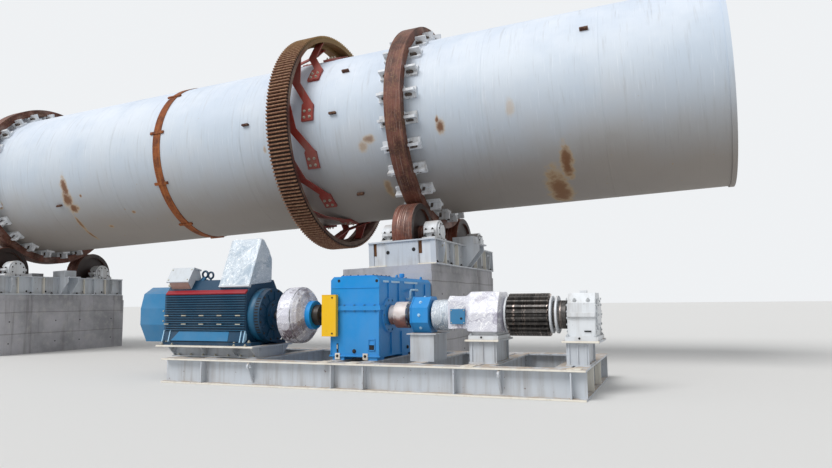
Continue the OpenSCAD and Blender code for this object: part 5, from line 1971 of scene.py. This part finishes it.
    def bearing_film(self) -> None:
        """Film over the shaft guard and the left bearing, gathered round the shaft at both ends."""
        a, b = self.cover[0], self.blocks[0] + self.block_l
        guard = symmetric([(0.315, -0.215), (0.322, 0.225), (0.22, 0.300)])
        body = symmetric([(0.445, -0.255), (0.425, 0.03), (0.350, 0.215), (0.245, 0.365)])
        keys = [
            (a - 0.012, polygon(24, 0.27)), (a - 0.004, guard), (a + 0.06, guard), (a + 0.26, guard),
            (a + 0.37, body), (a + 0.52, body), (b - 0.06, body), (b + 0.040, body),
            (b + 0.075, polygon(24, 0.30)), (b + 0.085, polygon(24, 0.18)),
        ]
        self.add("bearing_film", [wrapped(keys, 0.022, 23, 240, 110, 0.165)], Coat.film)

    def pinion_rims(self) -> None:
        """White rings over the pinion's discs, with both outer edges cut back."""
        r = self.rim_r
        profile = np.array([
            (-0.0015, 0.205), (-0.0015, r - 0.003), (0.002, r + 0.002),
            (0.028, r + 0.002), (0.0315, r - 0.003), (0.0315, 0.205),
        ])
        rings = [turned(profile + (x, 0.0), 72, ring=True) for x in self.rims]
        self.add("pinion_rims", rings, Coat.pads, "white_paint", "pinion_line")


@dataclass
class Studio:
    """Floor, lights and the camera at the photo's viewing angle.

    Attributes:
        eye: Where the camera stands.
        yaw: Its turn from +Y towards -X.
        pitch: Its tilt upwards.
        roll: Its lean.
        focal: Its focal length in the photo's pixels.
        photo_w: The photo's width in pixels.
        sensor: The sensor's width in millimetres.
        floor_far: How far the floor reaches.
        sun_strength: The sun's strength.
        sun_width: The angle over which the sun spreads.
        sun_turn: The sun's turn about each axis.
        sky_colour: The sky's colour.
        sky_strengths: How bright the sky lights, and how bright it shows.
    """

    eye: tuple[float, float, float] = (5.47, -14.774, 1.40)
    yaw: float = math.radians(21.85)
    pitch: float = math.radians(5.95)
    roll: float = math.radians(0.56)
    focal: float = 650.0
    photo_w: float = 832.0
    sensor: float = 36.0
    floor_far: float = 300.0
    sun_strength: float = 2.1
    sun_width: float = math.radians(35)
    sun_turn: tuple[float, float, float] = (math.radians(42), 0.0, math.radians(-28))
    sky_colour: tuple[float, float, float, float] = (0.96, 0.98, 1.0, 1.0)
    sky_strengths: tuple[float, float] = (0.52, 0.90)

    def build(self) -> None:
        """Makes the floor, the lights and the camera."""
        bpy.context.scene.view_settings.view_transform = "Standard"
        self.floor()
        self.sun()
        self.sky()
        self.camera()

    def floor(self) -> None:
        """A wide pale floor."""
        plate = bpy.data.meshes.new("floor")
        far = self.floor_far
        corners = [(-far, -far, 0), (far, -far, 0), (far, far, 0), (-far, far, 0)]
        plate.from_pydata(corners, [], [(0, 1, 2, 3)])
        plate.materials.append(PlainFloor("floor", "#dedddb", 0.9).material())
        made = bpy.data.objects.new("floor", plate)
        bpy.context.scene.collection.objects.link(made)

    def sun(self) -> None:
        """A broad sun from high on the camera's side."""
        sun = bpy.data.lights.new("sun", "SUN")
        sun.energy = self.sun_strength
        sun.angle = self.sun_width
        lamp = bpy.data.objects.new("sun", sun)
        lamp.rotation_euler = self.sun_turn
        bpy.context.scene.collection.objects.link(lamp)

    def sky(self) -> None:
        """An even sky that shows brighter behind the plant and in what mirrors it than it lights."""
        world = bpy.data.worlds.new("studio")
        world.use_nodes = True
        nodes, links = world.node_tree.nodes, world.node_tree.links
        nodes.clear()
        path = nodes.new("ShaderNodeLightPath")
        seen = path.outputs["Is Camera Ray"]
        for ray in ("Is Glossy Ray", "Is Transmission Ray"):
            either = nodes.new("ShaderNodeMath")
            either.operation = "MAXIMUM"
            links.new(seen, either.inputs[0])
            links.new(path.outputs[ray], either.inputs[1])
            seen = either.outputs[0]
        both = nodes.new("ShaderNodeMixShader")
        links.new(seen, both.inputs[0])
        for number, strength in enumerate(self.sky_strengths, 1):
            shade = nodes.new("ShaderNodeBackground")
            shade.inputs["Color"].default_value = self.sky_colour
            shade.inputs["Strength"].default_value = strength
            links.new(shade.outputs[0], both.inputs[number])
        links.new(both.outputs[0], nodes.new("ShaderNodeOutputWorld").inputs[0])
        bpy.context.scene.world = world

    def camera(self) -> None:
        """The camera's right, up and back directions come from its yaw, pitch and roll."""
        ahead = np.array([-math.sin(self.yaw), math.cos(self.yaw), 0.0])
        right = np.array([math.cos(self.yaw), math.sin(self.yaw), 0.0])
        up = np.array([0.0, 0.0, 1.0])
        forward = ahead * math.cos(self.pitch) + up * math.sin(self.pitch)
        upward = -ahead * math.sin(self.pitch) + up * math.cos(self.pitch)
        c, s = math.cos(self.roll), math.sin(self.roll)
        turn = np.column_stack([right * c - upward * s, right * s + upward * c, -forward])
        camera = bpy.data.objects.new("camera", bpy.data.cameras.new("camera"))
        camera.data.sensor_width = self.sensor
        camera.data.lens = self.focal / self.photo_w * self.sensor
        camera.data.clip_end = 1000.0
        camera.matrix_world = Matrix.Translation(self.eye) @ Matrix(turn.tolist()).to_4x4()
        bpy.context.scene.collection.objects.link(camera)
        bpy.context.scene.camera = camera


def main() -> None:
    """Builds the studio and every part of the plant."""
    logging.basicConfig(level=logging.INFO, format="%(message)s")
    stations = (RollerStation("main", 0.0), RollerStation("tail", -13.12))
    for part in (Studio(), Drum(), *stations, Skid(), Motor(), Gearbox(), PinionLine()):
        part.build()
        log.info("%s is done", type(part).__name__)


if __name__ == "__main__":
    main()
